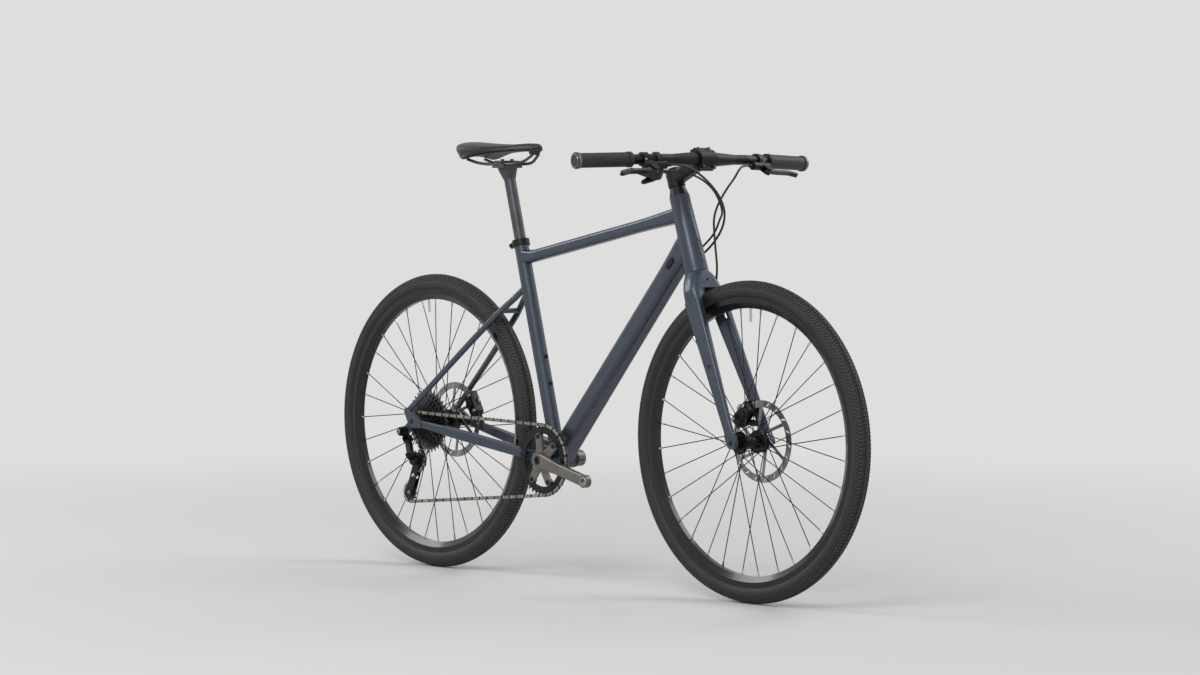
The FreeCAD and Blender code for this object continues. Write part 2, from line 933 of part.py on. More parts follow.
def bottle_bosses():
    """Threaded bosses for a bottle cage, each with a thin flange on the tube."""
    seat_tube_solid = Part.makeCylinder(D.seat_tube_radius, D.seat_tube_length, bracket, seat_up)
    bosses = []
    for place in boss_places():
        shape = Part.makeCylinder(D.boss_radius, D.boss_flange, place, seat_ahead)
        shank = Part.makeCylinder(D.boss_wall_radius, D.boss_length - D.boss_flange, place, -seat_ahead)
        tip = place + seat_ahead * float(D.boss_flange)
        hole = bore(D.boss_thread_radius, tip, tip - seat_ahead * float(D.boss_length))
        flange = shape.cut(seat_tube_solid)
        bosses.append(flange.fuse(shank).cut(hole))
    return bosses


def tube_between(start, end, stations, wall):
    """A straight tube: stations are (share of the way, width, height, corner, drop)."""
    along = (end - start).normalize()
    up = along.cross(Y) * -1
    run = (end - start).Length
    sections = []
    for share, width, height, corner, drop in eased(stations):
        centre = start + along * (run * share) - up * drop
        sections.append((centre, width, height, corner))
    return hollow_loft(sections, Y, up, float(wall))


def top_tube():
    """Top tube: a rounded box section that flares down into the seat tube."""
    start = seat_top - seat_up * float(D.top_tube_seat_drop)
    end = head_top - steer_up * float(D.top_tube_head_drop)
    rear = (D.top_tube_rear_width, D.top_tube_rear_height, D.top_tube_corner)
    front = (D.top_tube_front_width, D.top_tube_front_height, D.top_tube_corner)
    tall = D.top_tube_rear_height + D.top_tube_flare
    flare_share = 0.09
    taper_share = 0.72
    stations = [
        (0, rear[0], tall, rear[2], D.top_tube_flare / 2),
        (flare_share, *rear, 0),
        (taper_share, *rear, 0),
        (1, *front, 0),
    ]
    outside, inside = tube_between(start, end, stations, D.tube_wall)
    tube = outside.cut(inside).cut(seat_tube_solid).cut(head_solid)
    return feature("top_tube", largest(tube))


down_start = bracket
down_end = head_bottom + steer_up * float(D.down_tube_head_rise)


def down_tube():
    """Down tube: the largest section, flattened towards the shell and narrowed at the head."""
    corner = D.down_tube_corner
    middle_share = 0.45
    neck_share = 0.85
    stations = [
        (0, D.down_tube_shell_width, D.down_tube_shell_height, corner, 0),
        (middle_share, D.down_tube_middle_width, D.down_tube_middle_height, corner, 0),
        (neck_share, D.down_tube_head_width, D.down_tube_middle_height, corner, 0),
        (1, D.down_tube_head_width, D.down_tube_head_height, corner, 0),
    ]
    outside, inside = tube_between(down_start, down_end, stations, D.tube_wall)
    tube = outside.cut(inside).cut(head_solid).cut(shell_solid).cut(seat_tube_solid)
    feature("down_tube", largest(tube))
    return outside


port_face = float(D.down_tube_head_width / 2 + D.port_thickness)


def port_place(side, y):
    """Placement on a cable port's middle at a distance from the mid-plane, local Z outwards."""
    along = (down_end - down_start).normalize()
    middle = down_end - along * float(D.port_from_head) + Y * (side * y)
    return axes(middle, Y * side, along)


def frame_fittings(down_tube_outside):
    """Bottle bosses, and oblong plugs over the cable ports that sit on the down tube."""
    half = D.port_height / 2
    reach = (D.port_length - D.port_height) / 2
    deep = port_face - float(D.port_height)
    fittings = bottle_bosses()
    for side in SIDES.values():
        circles = [(-reach, 0, half), (reach, 0, half)]
        plug = hull(circles, D.port_height, port_place(side, deep))
        fittings.append(largest(plug.cut(down_tube_outside)))
    return several("frame_fittings", fittings)


def stay(start, end, stations):
    """A stay beside the wheel: stations are (share, y, width, height) along the side view's line.

    The result is the stay's outside and inside.
    """
    along = (end - start).normalize()
    up = along.cross(Y) * -1
    up = up if up.z > 0 else up * -1
    sections = []
    for share, y, width, height in eased(stations):
        centre = start + (end - start) * share
        centre.y = y
        sections.append((centre, width, height, D.stay_corner))
    return hollow_loft(sections, Y, up, float(D.stay_wall))


chainstay_lug = rear_axle + Vector(D.chainstay_lug_ahead, 0, -D.chainstay_lug_drop)
seatstay_lug = rear_axle + Vector(-D.seatstay_lug_back, 0, D.seatstay_lug_rise)
dropout_middle = D.rear_hub_width / 2 + D.dropout_thickness / 2


def dropout_blank(side, grow):
    """Outline of a dropout, grown across its thickness only."""
    near = D.rear_hub_width / 2
    face = -near if side == RIGHT else near + D.dropout_thickness
    circles = [
        (0, 0, D.dropout_axle_radius),
        (D.chainstay_lug_ahead, -D.chainstay_lug_drop, D.chainstay_lug_radius),
        (-D.seatstay_lug_back, D.seatstay_lug_rise, D.seatstay_lug_radius),
    ]
    return hull(circles, D.dropout_thickness + 2 * grow, side_plane(rear_axle, face + grow))


def dropout(side):
    """Dropout plate that joins the stays and holds the axle."""
    outer = float(D.rear_hub_width / 2 + D.dropout_thickness) * side
    hole = bore(D.axle_radius, rear_axle, Vector(rear_axle.x, outer, rear_axle.z))
    return dropout_blank(side, 0).cut(hole)


def chainstay(side):
    """Chainstay: passes between the chainring and the tyre, then spreads to the dropout."""
    start = bracket - Vector(D.chainstay_shell_inset, 0, 0)
    tyre_share = 0.2
    middle_share = 0.62
    stations = [
        (0, side * D.chainstay_shell_spread, D.chainstay_shell_width, D.chainstay_shell_height),
        (tyre_share, side * D.chainstay_tyre_spread, D.chainstay_tyre_width, D.chainstay_shell_height),
        (middle_share, side * D.chainstay_middle_spread, D.chainstay_tyre_width, D.chainstay_shell_height),
        (1, side * dropout_middle, D.stay_end_width, D.chainstay_rear_height),
    ]
    return stay(start, chainstay_lug, stations)


seatstay_start = seat_top - seat_up * float(D.seatstay_joint_drop)


def seatstay(side):
    """Seatstay: leaves the side of the seat tube, clears the tyre and runs to the dropout."""
    run = seatstay_lug - seatstay_start
    tyre_reach = (seatstay_start - rear_axle).Length - float(D.tyre_diameter / 2 + D.tyre_gap)
    tyre_share = tyre_reach / run.Length
    leave_share = tyre_share / 3
    joint = D.seatstay_joint_spread
    wide = D.seatstay_width
    tall = D.seatstay_height
    return stay(seatstay_start, seatstay_lug, [
        (0, side * joint, wide, tall),
        (leave_share, side * (joint + wide / 2), wide, tall),
        (tyre_share, side * D.seatstay_tyre_spread, wide, tall),
        (1, side * dropout_middle, D.stay_end_width, tall),
    ])


hanger_hole = rear_axle + Vector(-D.hanger_back, 0, -D.hanger_drop)
hanger_face = -float(D.rear_hub_width / 2 + (D.dropout_thickness - D.hanger_thickness) / 2)


def hanger_plate(grow):
    """Blank of the derailleur hanger, grown on every side."""
    root = D.hanger_radius + grow
    circles = [(0, 0, root), (-D.hanger_back, -D.hanger_drop, root)]
    return hull(circles, D.hanger_thickness + 2 * grow, side_plane(rear_axle, hanger_face + float(grow)))


def derailleur_hanger(plate):
    """Hanger under the right dropout, bored for the derailleur's bolt."""
    near = Vector(hanger_hole.x, hanger_face, hanger_hole.z)
    far = near - Y * float(D.hanger_thickness)
    hole = bore(D.hanger_bolt_radius + D.running_clearance, near, far)
    return largest(hanger_plate(0).cut(plate).cut(hole))


def rear_triangle():
    """Dropouts with the hanger, chainstays, and seatstays with their bridge."""
    plates = {side: dropout(side) for side in SIDES.values()}
    lower = []
    upper = []
    bridge_share = 0.19
    middle = seatstay_start + (seatstay_lug - seatstay_start) * bridge_share
    half = Y * float(D.seatstay_tyre_spread - D.seatstay_width / 2)
    bridge = pillar(D.bridge_radius, middle - half, middle + half)
    outsides = {}
    wide = D.shell_width + 2 * D.shell_radius
    shell_end = Part.makeCylinder(D.shell_radius, wide, bracket - Y * float(wide / 2), Y)
    for side in plates:
        end = dropout_blank(side, D.dropout_thickness)
        outside, inside = chainstay(side)
        outsides[side] = outside
        lower.append(largest(outside.cut(inside).cut(shell_end).cut(end)))
        outside, inside = seatstay(side)
        upper.append(largest(outside.cut(inside).cut(seat_tube_solid).cut(end)))
        bridge = bridge.cut(outside)
    several("dropouts", list(plates.values()) + [derailleur_hanger(plates[RIGHT])])
    several("chainstays", lower)
    several("seatstays", upper + [largest(bridge)])
    return outsides


def thru_axle(name, centre, hub_width, thickness):
    """Thru-axle with its head on the left."""
    half = hub_width / 2 + thickness
    corners = [
        (0, -half),
        (D.axle_radius, -half),
        (D.axle_radius, half),
        (D.axle_head_radius, half),
        (D.axle_head_radius, half + D.axle_head_length),
        (0, half + D.axle_head_length),
    ]
    return turned(name, corners, axes(centre, Y, X))


def front_thru_axle():
    """Axle between the fork tips."""
    return node("front_thru_axle", thru_axle(
        "front_thru_axle", front_axle, D.front_hub_width, D.fork_tip_thickness))


def rear_thru_axle():
    """Axle between the dropouts, with the spacer between the cassette and the right dropout."""
    axle = thru_axle("rear_axle_bar", rear_axle, D.rear_hub_width, D.dropout_thickness)
    end = -D.rear_hub_width / 2
    start = -D.cog_line - D.lockring_thickness - D.tooth_thickness - D.part_gap
    inside = D.axle_radius + D.running_clearance
    spacer = ring("rear_axle_spacer", inside, D.end_cap_radius, end, start, axes(rear_axle, Y, X))
    return group("rear_thru_axle", [axle, spacer])


def seat_clamp():
    """Clamp collar round the top of the seat tube, with ears and a bolt behind."""
    base = seat_top - seat_up * float(D.collar_height)
    collar = rod("collar_ring", D.collar_radius, D.collar_height, base, seat_up)
    middle = base + seat_up * float(D.collar_height / 2)
    behind = middle - seat_ahead * float(D.collar_radius + D.collar_ear_length / 2 - D.collar_slot)
    ear_share = 0.8
    ears = block("collar_ears", D.collar_ear_length, D.collar_ear_width, D.collar_height * ear_share,
                 axes(behind, seat_up, seat_ahead))
    tube = rod("collar_bore", D.seat_tube_radius, 2 * D.collar_height,
               base - seat_up * float(D.collar_height / 2), seat_up)
    slot_at = axes(behind, seat_up, seat_ahead)
    slot = block("collar_slot", 2 * D.collar_ear_length, D.collar_slot, 2 * D.collar_height, slot_at)
    span = Y * float(D.collar_ear_width)
    hole = rod("collar_bolt_hole", D.collar_bolt_radius, 2 * D.collar_ear_width, behind - span, Y)
    ring_part = cut("collar", fused("collar_body", [collar, ears]), [tube, slot, hole])
    head_at = behind - Y * float(D.collar_ear_width / 2)
    shank = rod("collar_shank", D.collar_bolt_radius, D.collar_ear_width, head_at, Y)
    head = rod("collar_bolt_head", D.collar_bolt_head_radius, D.collar_bolt_head_length, head_at, -Y)
    bolt = fused("collar_bolt", [shank, head])
    return group("seat_clamp", [ring_part, bolt])


def bottom_bracket_cups():
    """Outboard bearing cups on both ends of the shell."""
    half = D.shell_width / 2
    inside = D.spindle_radius + D.running_clearance
    right = ring("cup_right", inside, D.cup_radius, -half - D.cup_width, -half, across_frame)
    left = ring("cup_left", inside, D.cup_radius, half, half + D.cup_width, across_frame)
    return group("bottom_bracket_cups", [right, left])


# Fork and headset

leg_down = (front_axle - crown_seat).normalize()
leg_ahead = leg_down.cross(Y)


def fork_crown():
    """Crown with the steerer: round under the head tube, then spread into an arch over the tyre."""
    inside = D.steerer_radius - D.steerer_wall
    race = D.headset_gap - D.part_gap
    top = 2 * D.headset_gap + D.head_tube_length + D.cone_height + D.stem_clamp_height
    place = axes(crown_seat, steer_up, steer_ahead)
    steerer = spun([(0, 0), (D.race_radius, 0), (D.race_radius, race), (D.steerer_radius, race),
                    (D.steerer_radius, top), (0, top)], place)
    waist_share = 0.3
    flare_share = 0.75
    round_width = D.crown_round_width
    sections = []
    for share, width, depth, corner in eased([
        (0, round_width, round_width, round_width / 2),
        (waist_share, D.crown_shoulder_width, D.crown_shoulder_depth, D.crown_shoulder_corner),
        (flare_share, D.crown_width, D.crown_depth, (D.crown_corner + D.crown_shoulder_corner) / 2),
        (1, D.crown_width, D.crown_depth, D.crown_corner),
    ]):
        centre = crown_seat + leg_down * (float(D.crown_length) * share)
        tilt = min(1, share / waist_share)
        ahead = (steer_ahead * (1 - tilt) + leg_ahead * tilt).normalize()
        sections.append(rounded(centre, Y, ahead, width, depth, corner))
    half = Y * float(D.tyre_slot_half)
    reach = D.tyre_diameter / 2 + D.tyre_gap
    arch = Part.makeCylinder(reach, 2 * D.tyre_slot_half, front_axle - half, Y)
    middle = crown_seat + leg_down * float(D.crown_hole_drop)
    hole = bore(D.crown_hole_radius, middle, middle + leg_ahead * float(D.crown_round_width))
    body = largest(lofted(sections).cut(arch).cut(hole))
    tube = bore(inside, crown_seat, crown_seat + steer_up * float(top))
    return feature("fork_crown", largest(body.fuse(steerer).cut(tube)))


leg_top_width = D.crown_width / 2 - D.tyre_slot_half
leg_top_y = D.tyre_slot_half + leg_top_width / 2
leg_bottom_y = D.front_hub_width / 2 + D.fork_tip_thickness / 2
leg_run = D.leg_end - D.crown_length


def leg_centre(side, share):
    """Point on a fork leg's middle line."""
    along = crown_seat + leg_down * float(D.crown_length + leg_run * share)
    return along + Y * (side * float(leg_top_y + (leg_bottom_y - leg_top_y) * share))


def fork_leg(side):
    """Fork leg: a flattened tube that narrows to the tip; the result is the leg and its outside."""
    middle_share = 0.5
    rows = eased([
        (0, leg_top_width, D.crown_depth),
        (middle_share, (leg_top_width + D.leg_bottom_width) / 2, D.leg_middle_depth),
        (1, D.leg_bottom_width, D.leg_bottom_depth),
    ])
    stations = [(leg_centre(side, share), width, depth, D.leg_corner) for share, width, depth in rows]
    outside, inside = hollow_loft(stations, Y, leg_ahead, float(D.leg_wall))
    inner = front_axle + Y * (side * float(D.front_hub_width / 2))
    outer = inner + Y * (side * float(D.fork_tip_thickness))
    neck = crown_seat + leg_down * float(D.leg_end)
    rise = (neck - front_axle).Length
    tip = hull([(0, 0, D.fork_tip_radius), (0, -rise, D.leg_bottom_depth / 2)],
               D.fork_tip_thickness, axes(inner if side == LEFT else outer, Y, leg_ahead))
    outside = outside.fuse(tip)
    solid = outside.cut(inside).cut(bore(D.axle_radius, inner, outer))
    return largest(solid), outside


boss_share = float((D.leg_boss_distance - D.crown_length) / leg_run)
boss_y = leg_top_width / 2 + (D.leg_bottom_width - leg_top_width) / 2 * boss_share + D.leg_boss_proud
leg_boss_face = leg_centre(RIGHT, boss_share) - Y * float(boss_y)


def fork_legs():
    """Both fork legs; the right one has a threaded boss on its outer face."""
    legs = {}
    for side in SIDES.values():
        legs[side] = fork_leg(side)
    root = leg_centre(RIGHT, boss_share)
    boss = pillar(D.leg_boss_radius, root, leg_boss_face)
    thread = pillar(D.boss_thread_radius, root + Y * float(D.part_gap), leg_boss_face - Y * float(D.cut_overrun))
    right = legs[RIGHT][0].fuse(boss).cut(thread)
    several("fork_legs", [largest(right), legs[LEFT][0]])
    return legs[LEFT][1]


def headset_cover():
    """Conical cover over the upper bearing, and the cap over the steerer."""
    start = D.head_tube_length + D.headset_gap
    inside = D.steerer_radius + D.running_clearance
    corners = [
        (inside, start),
        (D.cone_bottom_radius, start),
        (D.cone_top_radius, start + D.cone_height),
        (inside, start + D.cone_height),
    ]
    cover = turned("headset_cone", corners, steering)
    start = D.head_tube_length + D.headset_gap + D.cone_height + D.stem_clamp_height
    corners = [
        (0, start),
        (D.top_cap_radius, start),
        (D.top_cap_radius - D.top_cap_height / 2, start + D.top_cap_height),
        (0, start + D.top_cap_height),
    ]
    cap = turned("top_cap", corners, steering)
    return group("headset_cover", [cover, cap])


# Stem and handlebar

stem_up = stem_ahead.cross(Y)
stem_up = stem_up if stem_up.z > 0 else stem_up * -1
face_height = 2 * (D.bar_clamp_radius + D.faceplate_lug_reach + D.faceplate_bolt_radius)
split = bar_middle


def bolt_places():
    """Centres of the four faceplate bolts on the split plane."""
    rise = float(D.bar_clamp_radius + D.faceplate_lug_reach - D.faceplate_bolt_radius)
    reach = float(D.stem_face_width / 2 - D.faceplate_lug_reach)
    return [split + stem_up * (rise * v) + Y * (reach * u) for u in (1, -1) for v in (1, -1)]


def face_half(direction, depth):
    """One half of the handlebar clamp: a block with lugs and a round back."""
    block_at = split + stem_ahead * (direction * float(D.faceplate_gap + depth) / 2)
    height = float(face_height)
    section = rounded(block_at - Y * float(D.stem_face_width / 2), stem_ahead, stem_up,
                      depth, height, D.faceplate_bolt_radius)
    half = Part.Face(section).extrude(Y * float(D.stem_face_width))
    back = Part.makeCylinder(D.stem_face_radius, D.stem_face_width,
                             split - Y * float(D.stem_face_width / 2), Y)
    size = 2 * float(D.stem_face_radius + D.cut_overrun)
    keep = Part.makeBox(size, size, size, Vector(-size / 2, -size / 2, 0))
    keep.Placement = axes(split + stem_ahead * (direction * float(D.faceplate_gap) / 2),
                          stem_ahead * direction, Y)
    return half.fuse(back.common(keep))


def bar_bore():
    """Cutter for the handlebar through the clamp."""
    half = Y * float(D.stem_face_width)
    return Part.makeCylinder(D.bar_clamp_radius, 2 * D.stem_face_width, bar_middle - half, Y)


def stem():
    """Stem: steerer clamp, tapered arm and the fixed half of the handlebar clamp."""
    half = float(D.stem_clamp_height / 2)
    base = stem_middle - steer_up * half
    clamp = Part.makeCylinder(D.stem_clamp_radius, D.stem_clamp_height, base, steer_up)
    near = stem_middle + stem_ahead * float(D.stem_clamp_radius / 2)
    far = split - stem_ahead * float(D.stem_face_radius / 2)
    arm = lofted([
        rounded(near, Y, stem_up, D.stem_arm_width, D.stem_arm_height, D.stem_arm_corner),
        rounded(far, Y, stem_up, D.stem_arm_width, D.stem_arm_height, D.stem_arm_corner),
    ])
    solid = clamp.fuse(arm).fuse(face_half(-1, float(D.faceplate_lug_depth)))
    solid = solid.cut(bore(D.steerer_radius, base, base + steer_up * (2 * half))).cut(bar_bore())
    behind = stem_middle - steer_ahead * float(D.stem_clamp_radius)
    slot = Part.makeBox(D.stem_clamp_radius, D.collar_slot, 2 * D.stem_clamp_height)
    slot.Placement = axes(behind, steer_up, steer_ahead) * Placement(
        Vector(-D.stem_clamp_radius / 2, -D.collar_slot / 2, -D.stem_clamp_height), Rotation())
    solid = solid.cut(slot)
    for place in bolt_places():
        solid = solid.cut(pillar(D.faceplate_bolt_radius, place - stem_ahead * float(D.stem_face_radius), place))
    for place in pinch_places():
        solid = solid.cut(bore(D.faceplate_bolt_radius, place - Y * pinch_reach, place + Y * pinch_reach))
    return feature("stem", largest(solid))


pinch_reach = float(D.stem_clamp_radius)


def pinch_places():
    """Middles of the two pinch bolts behind the steerer."""
    pinch_share = 0.27
    behind = stem_middle - steer_ahead * float(D.steerer_radius + D.faceplate_bolt_radius)
    rise = steer_up * (float(D.stem_clamp_height) * pinch_share)
    return [behind + rise, behind - rise]


def stem_faceplate():
    """Front half of the handlebar clamp, held by four bolts."""
    solid = face_half(1, float(D.faceplate_lug_depth)).cut(bar_bore())
    for place in bolt_places():
        solid = solid.cut(bore(D.faceplate_bolt_radius, place, place + stem_ahead * float(D.stem_face_radius)))
    return several("stem_faceplate", [largest(solid)] + stem_bolts())


def stem_bolts():
    """Four faceplate bolts and two pinch bolts."""
    bolts = []
    front = float(D.faceplate_gap / 2 + D.faceplate_lug_depth)
    back = float(D.faceplate_lug_depth)
    for place in bolt_places():
        seat = place + stem_ahead * front
        shank = pillar(D.faceplate_bolt_radius, place - stem_ahead * back, seat)
        head = pillar(D.faceplate_bolt_head_radius, seat, seat + stem_ahead * float(D.faceplate_bolt_head_length))
        bolts.append(shank.fuse(head).cut(bar_bore()))
    reach = math.sqrt(float(D.stem_clamp_radius) ** 2 - float(D.steerer_radius + D.faceplate_bolt_radius) ** 2)
    for place in pinch_places():
        bolts.append(pillar(D.faceplate_bolt_radius, place - Y * reach, place + Y * reach))
    return bolts


def bar_heading(side):
    """Direction of the swept end of the handlebar."""
    sweep = math.radians(float(D.bar_sweep_angle))
    drop = math.radians(float(D.bar_drop_angle))
    return Vector(-math.sin(sweep), side * math.cos(sweep), -math.sin(drop)).normalize()


def bar_point(side, reach):
    """Point of the handlebar's middle line whose distance from the mid-plane is reach."""
    bend = float(D.bar_bend)
    if reach <= bend:
        return bar_middle + Y * (side * reach)
    heading = bar_heading(side)
    return bar_middle + Y * (side * bend) + heading * ((reach - bend) / abs(heading.y))


def handlebar():
    """Flat bar: thick in the clamp, tapered, then swept back to the grips."""
    soften = float(D.bar_radius)
    bend = float(D.bar_bend)
    half = float(D.bar_width / 2)
    stations = [
        (float(D.bar_clamp_half), D.bar_clamp_radius),
        (float(D.bar_taper_end), D.bar_radius),
        (bend - soften, D.bar_radius),
        (bend, D.bar_radius),
        (bend + soften, D.bar_radius),
        (half, D.bar_radius),
    ]
    rings = []
    for side in (RIGHT, LEFT):
        row = []
        for reach, radius in stations:
            turn_share = min(max((reach - bend + soften) / (2 * soften), 0), 1)
            heading = (Y * side * (1 - turn_share) + bar_heading(side) * turn_share) * side
            row.append((bar_point(side, reach), heading.normalize(), radius))
        rings += row[::-1] if side == RIGHT else row

    def shell(thinner):
        wires = []
        for centre, heading, radius in rings:
            wires.append(Part.Wire(Part.makeCircle(radius - thinner, centre, heading)))
        return Part.makeLoft(wires, True, True)

    return feature("handlebar", shell(0).cut(shell(D.bar_wall)))


def grip(side):
    """Rubber grip with a raised ring at each end."""
    half = float(D.bar_width / 2)
    heading = bar_heading(side)
    place = axes(bar_point(side, half), heading, heading.cross(Z).cross(heading).normalize())
    inside = D.bar_radius + D.running_clearance
    start = -D.grip_length
    corners = [
        (inside, start),
        (D.grip_ring_radius, start),
        (D.grip_ring_radius, start + D.grip_ring_width),
        (D.grip_radius, start + D.grip_ring_width),
        (D.grip_radius, -D.grip_ring_width),
        (D.grip_ring_radius, -D.grip_ring_width),
        (D.grip_ring_radius, 0),
        (inside, 0),
    ]
    return turned("grip", corners, place)


def grips():
    """Both grips, with plugs in the open ends of the handlebar."""
    pieces = [grip(side) for side in SIDES.values()]
    for name, side in SIDES.items():
        half = float(D.bar_width / 2)
        heading = bar_heading(side)
        place = axes(bar_point(side, half), heading, heading.cross(Z).cross(heading).normalize())
        shank = D.bar_radius - D.bar_wall - D.running_clearance
        corners = [
            (0, -D.grip_ring_width),
            (shank, -D.grip_ring_width),
            (shank, 0),
            (D.grip_radius, 0),
            (D.bar_radius, D.plug_length),
            (0, D.plug_length),
        ]
        pieces.append(turned("plug_" + name, corners, place))
    return group("grips", pieces)


# Brake levers and shifter

def lever_place(side, inset):
    """Placement on the bar: local X outboard, local Y forward and down, local Z square to both."""
    outboard = bar_heading(side)
    droop = unit(-float(D.lever_droop_angle))
    square = outboard.cross(droop).normalize()
    return axes(bar_point(side, float(inset)), square, outboard)


def placed(shape, place):
    """A shape moved to its placement."""
    shape.Placement = place.multiply(shape.Placement)
    return shape


def along_x(radius, start, end, y, z):
    """A bar along local X."""
    return Part.makeCylinder(radius, end - start, Vector(start, y, z), X)


def band(width):
    """A clamp band round the handlebar, and the cutter for the bar."""
    outer = along_x(D.lever_clamp_radius, -width / 2, width / 2, 0, 0)
    hole = along_x(D.bar_radius + D.running_clearance, -2 * width, 2 * width, 0, 0)
    return outer, hole


def pivot_axis(z):
    """Local place of the lever's pivot."""
    return Vector(-D.pivot_inboard, D.pivot_reach, z)


def brake_lever_body(side):
    """Hydraulic lever body: clamp band, master cylinder, hose fitting and ears with the pivot pin."""
    width = D.lever_clamp_width
    outer, hole = band(width)
    reach = D.cylinder_reach
    cylinder = along_x(D.cylinder_radius, -D.cylinder_inboard, D.cylinder_outboard, reach, 0)
    fitting = along_x(D.fitting_radius, -D.cylinder_inboard - D.fitting_length, -D.cylinder_inboard, reach, 0)
    web = Part.makeBox(width, reach, D.cylinder_radius,
                       Vector(-width / 2, 0, -D.cylinder_radius / 2))
    solid = outer.fuse([web, cylinder, fitting])
    half = D.blade_height / 2 + D.part_gap
    ear = D.pivot_radius
    circles = [(-D.pivot_inboard, reach, D.cylinder_radius), (-D.pivot_inboard, D.pivot_reach, D.pivot_boss_radius)]
    for bottom in (half, -half - ear):
        solid = solid.fuse(hull(circles, ear, Placement(Vector(0, 0, bottom), Rotation())))
    solid = solid.cut(blade_room())
    pin = Part.makeCylinder(D.pivot_radius, 2 * (half + ear), pivot_axis(-half - ear), Z)
    solid = solid.fuse(pin).cut(hole)
    return placed(largest(solid), lever_place(side, D.lever_clamp_inset))


def blade_circles(grow):
    """Outline of the lever blade as a row of circles, from the pivot to the hooked tip."""
    depth = D.blade_depth / 2
    knee_share = 0.3
    end_share = 0.76
    lead = D.pivot_reach + D.blade_lead
    return [
        (-D.pivot_inboard, D.pivot_reach, D.pivot_boss_radius - D.part_gap + grow),
        (-D.pivot_inboard + D.blade_length * knee_share, lead, depth + grow),
        (-D.pivot_inboard + D.blade_length * end_share, lead, depth + grow),
        (-D.pivot_inboard + D.blade_length, lead + D.blade_hook, depth + grow),
    ]


def blade_room():
    """Room that the blade's root needs between the ears."""
    half = D.blade_height / 2 + D.part_gap
    circles = blade_circles(D.part_gap)
    start = Placement(Vector(0, 0, -half), Rotation())
    room = hull(circles[:2], 2 * half, start)
    return room.fuse(Part.makeCylinder(D.pivot_boss_radius + D.part_gap, 2 * half, pivot_axis(-half), Z))


def brake_lever_blade(side):
    """Curved lever blade, bored for the pivot pin."""
    half = D.blade_height / 2
    circles = blade_circles(0)
    place = Placement(Vector(0, 0, -half), Rotation())
    solid = hull(circles[:2], D.blade_height, place)
    for pair in (circles[1:3], circles[2:4]):
        solid = solid.fuse(hull(pair, D.blade_height, place))
    over = D.cut_overrun
    hole = Part.makeCylinder(D.pivot_radius + D.running_clearance, 2 * (half + over), pivot_axis(-half - over), Z)
    return placed(solid.removeSplitter().cut(hole), lever_place(side, D.lever_clamp_inset))


def brake_levers():
    """Lever bodies on both sides, and a blade on each."""
    several("brake_lever_bodies", [brake_lever_body(side) for side in SIDES.values()])
    for name, side in SIDES.items():
        feature("brake_lever_" + name, brake_lever_blade(side))


shifter_inset = D.lever_clamp_inset - D.shifter_inboard
pod_bottom = -D.pod_drop - D.pod_height / 2


def shifter_body():
    """Shifter: clamp band, neck, round pod under the bar and the post of its levers."""
    width = D.shifter_clamp_width
    outer, hole = band(width)
    pod = Part.makeCylinder(D.pod_radius, D.pod_height, Vector(0, D.pod_ahead, pod_bottom), Z)
    edge = [item for item in pod.Edges if item.Closed and abs(item.BoundBox.ZLength) < float(D.part_gap)]
    pod = pod.makeFillet(float(D.pod_edge), edge)
    neck = Part.makeBox(width, width, D.pod_drop, Vector(-width / 2, -width / 2, -D.pod_drop))
    fitting = along_x(D.fitting_radius, -D.pod_radius - D.fitting_length, 0, D.pod_ahead, -D.pod_drop)
    post_length = 2 * (D.thumb_thickness + D.part_gap) + D.part_gap
    post = Part.makeCylinder(D.pivot_radius, post_length, Vector(0, D.pod_ahead, pod_bottom - post_length), Z)
    solid = outer.fuse([neck, pod, fitting, post]).cut(hole)
    return feature("shifter_body", placed(largest(solid), lever_place(RIGHT, shifter_inset)))


def shift_paddle(label, layer, length, width, turn):
    """A flat shift lever on the pod's post: layer counts down from the pod."""
    turn = math.radians(float(turn))
    ahead = D.pod_ahead
    circles = [
        (0, ahead, D.paddle_root_radius),
        (length * math.cos(turn), ahead + length * math.sin(turn), width / 2),
    ]
    top = pod_bottom - D.part_gap - (D.thumb_thickness + D.part_gap) * layer
    place = Placement(Vector(0, 0, top - D.thumb_thickness), Rotation())
    plate = hull(circles, D.thumb_thickness, place)
    hole = bore(D.pivot_radius + D.running_clearance, Vector(0, ahead, top - D.thumb_thickness),
                Vector(0, ahead, top))
    return feature(label, placed(plate.cut(hole), lever_place(RIGHT, shifter_inset)))


# Wheels

def polar(radius, angle):
    """Point of a flat outline at a radius and an angle."""
    turn = math.radians(angle)
    return Vector(float(radius) * math.cos(turn), float(radius) * math.sin(turn), 0)


def tyre(label, centre):
    """Tyre: a round casing with its beads inside the rim."""
    low = D.rim_bead_radius + D.part_gap
    flange = D.rim_bead_radius + D.rim_flange_height
    lip = flange + D.part_gap
    outer = D.tyre_diameter / 2
    wide = (flange + outer) / 2
    half = D.tyre_width / 2
    bead = D.rim_width / 2 - D.rim_wall - D.part_gap
    wall = D.tyre_wall
    corners = [
        (low, bead),
        (lip, bead, half, -1),
        (wide, half, half, -1),
        (outer, 0, half, -1),
        (wide, -half, half, -1),
        (lip, -bead),
        (low, -bead),
        (low, wall - bead),
        (lip, wall - bead),
        (wide, wall - half),
        (outer - wall, 0),
        (wide, half - wall),
        (lip, bead - wall),
        (low, bead - wall),
    ]
    return node(label, turned(label, corners, axes(centre, Y, X)))


rim_top = D.rim_bead_radius + D.rim_flange_height
rim_bed = rim_top - D.rim_depth


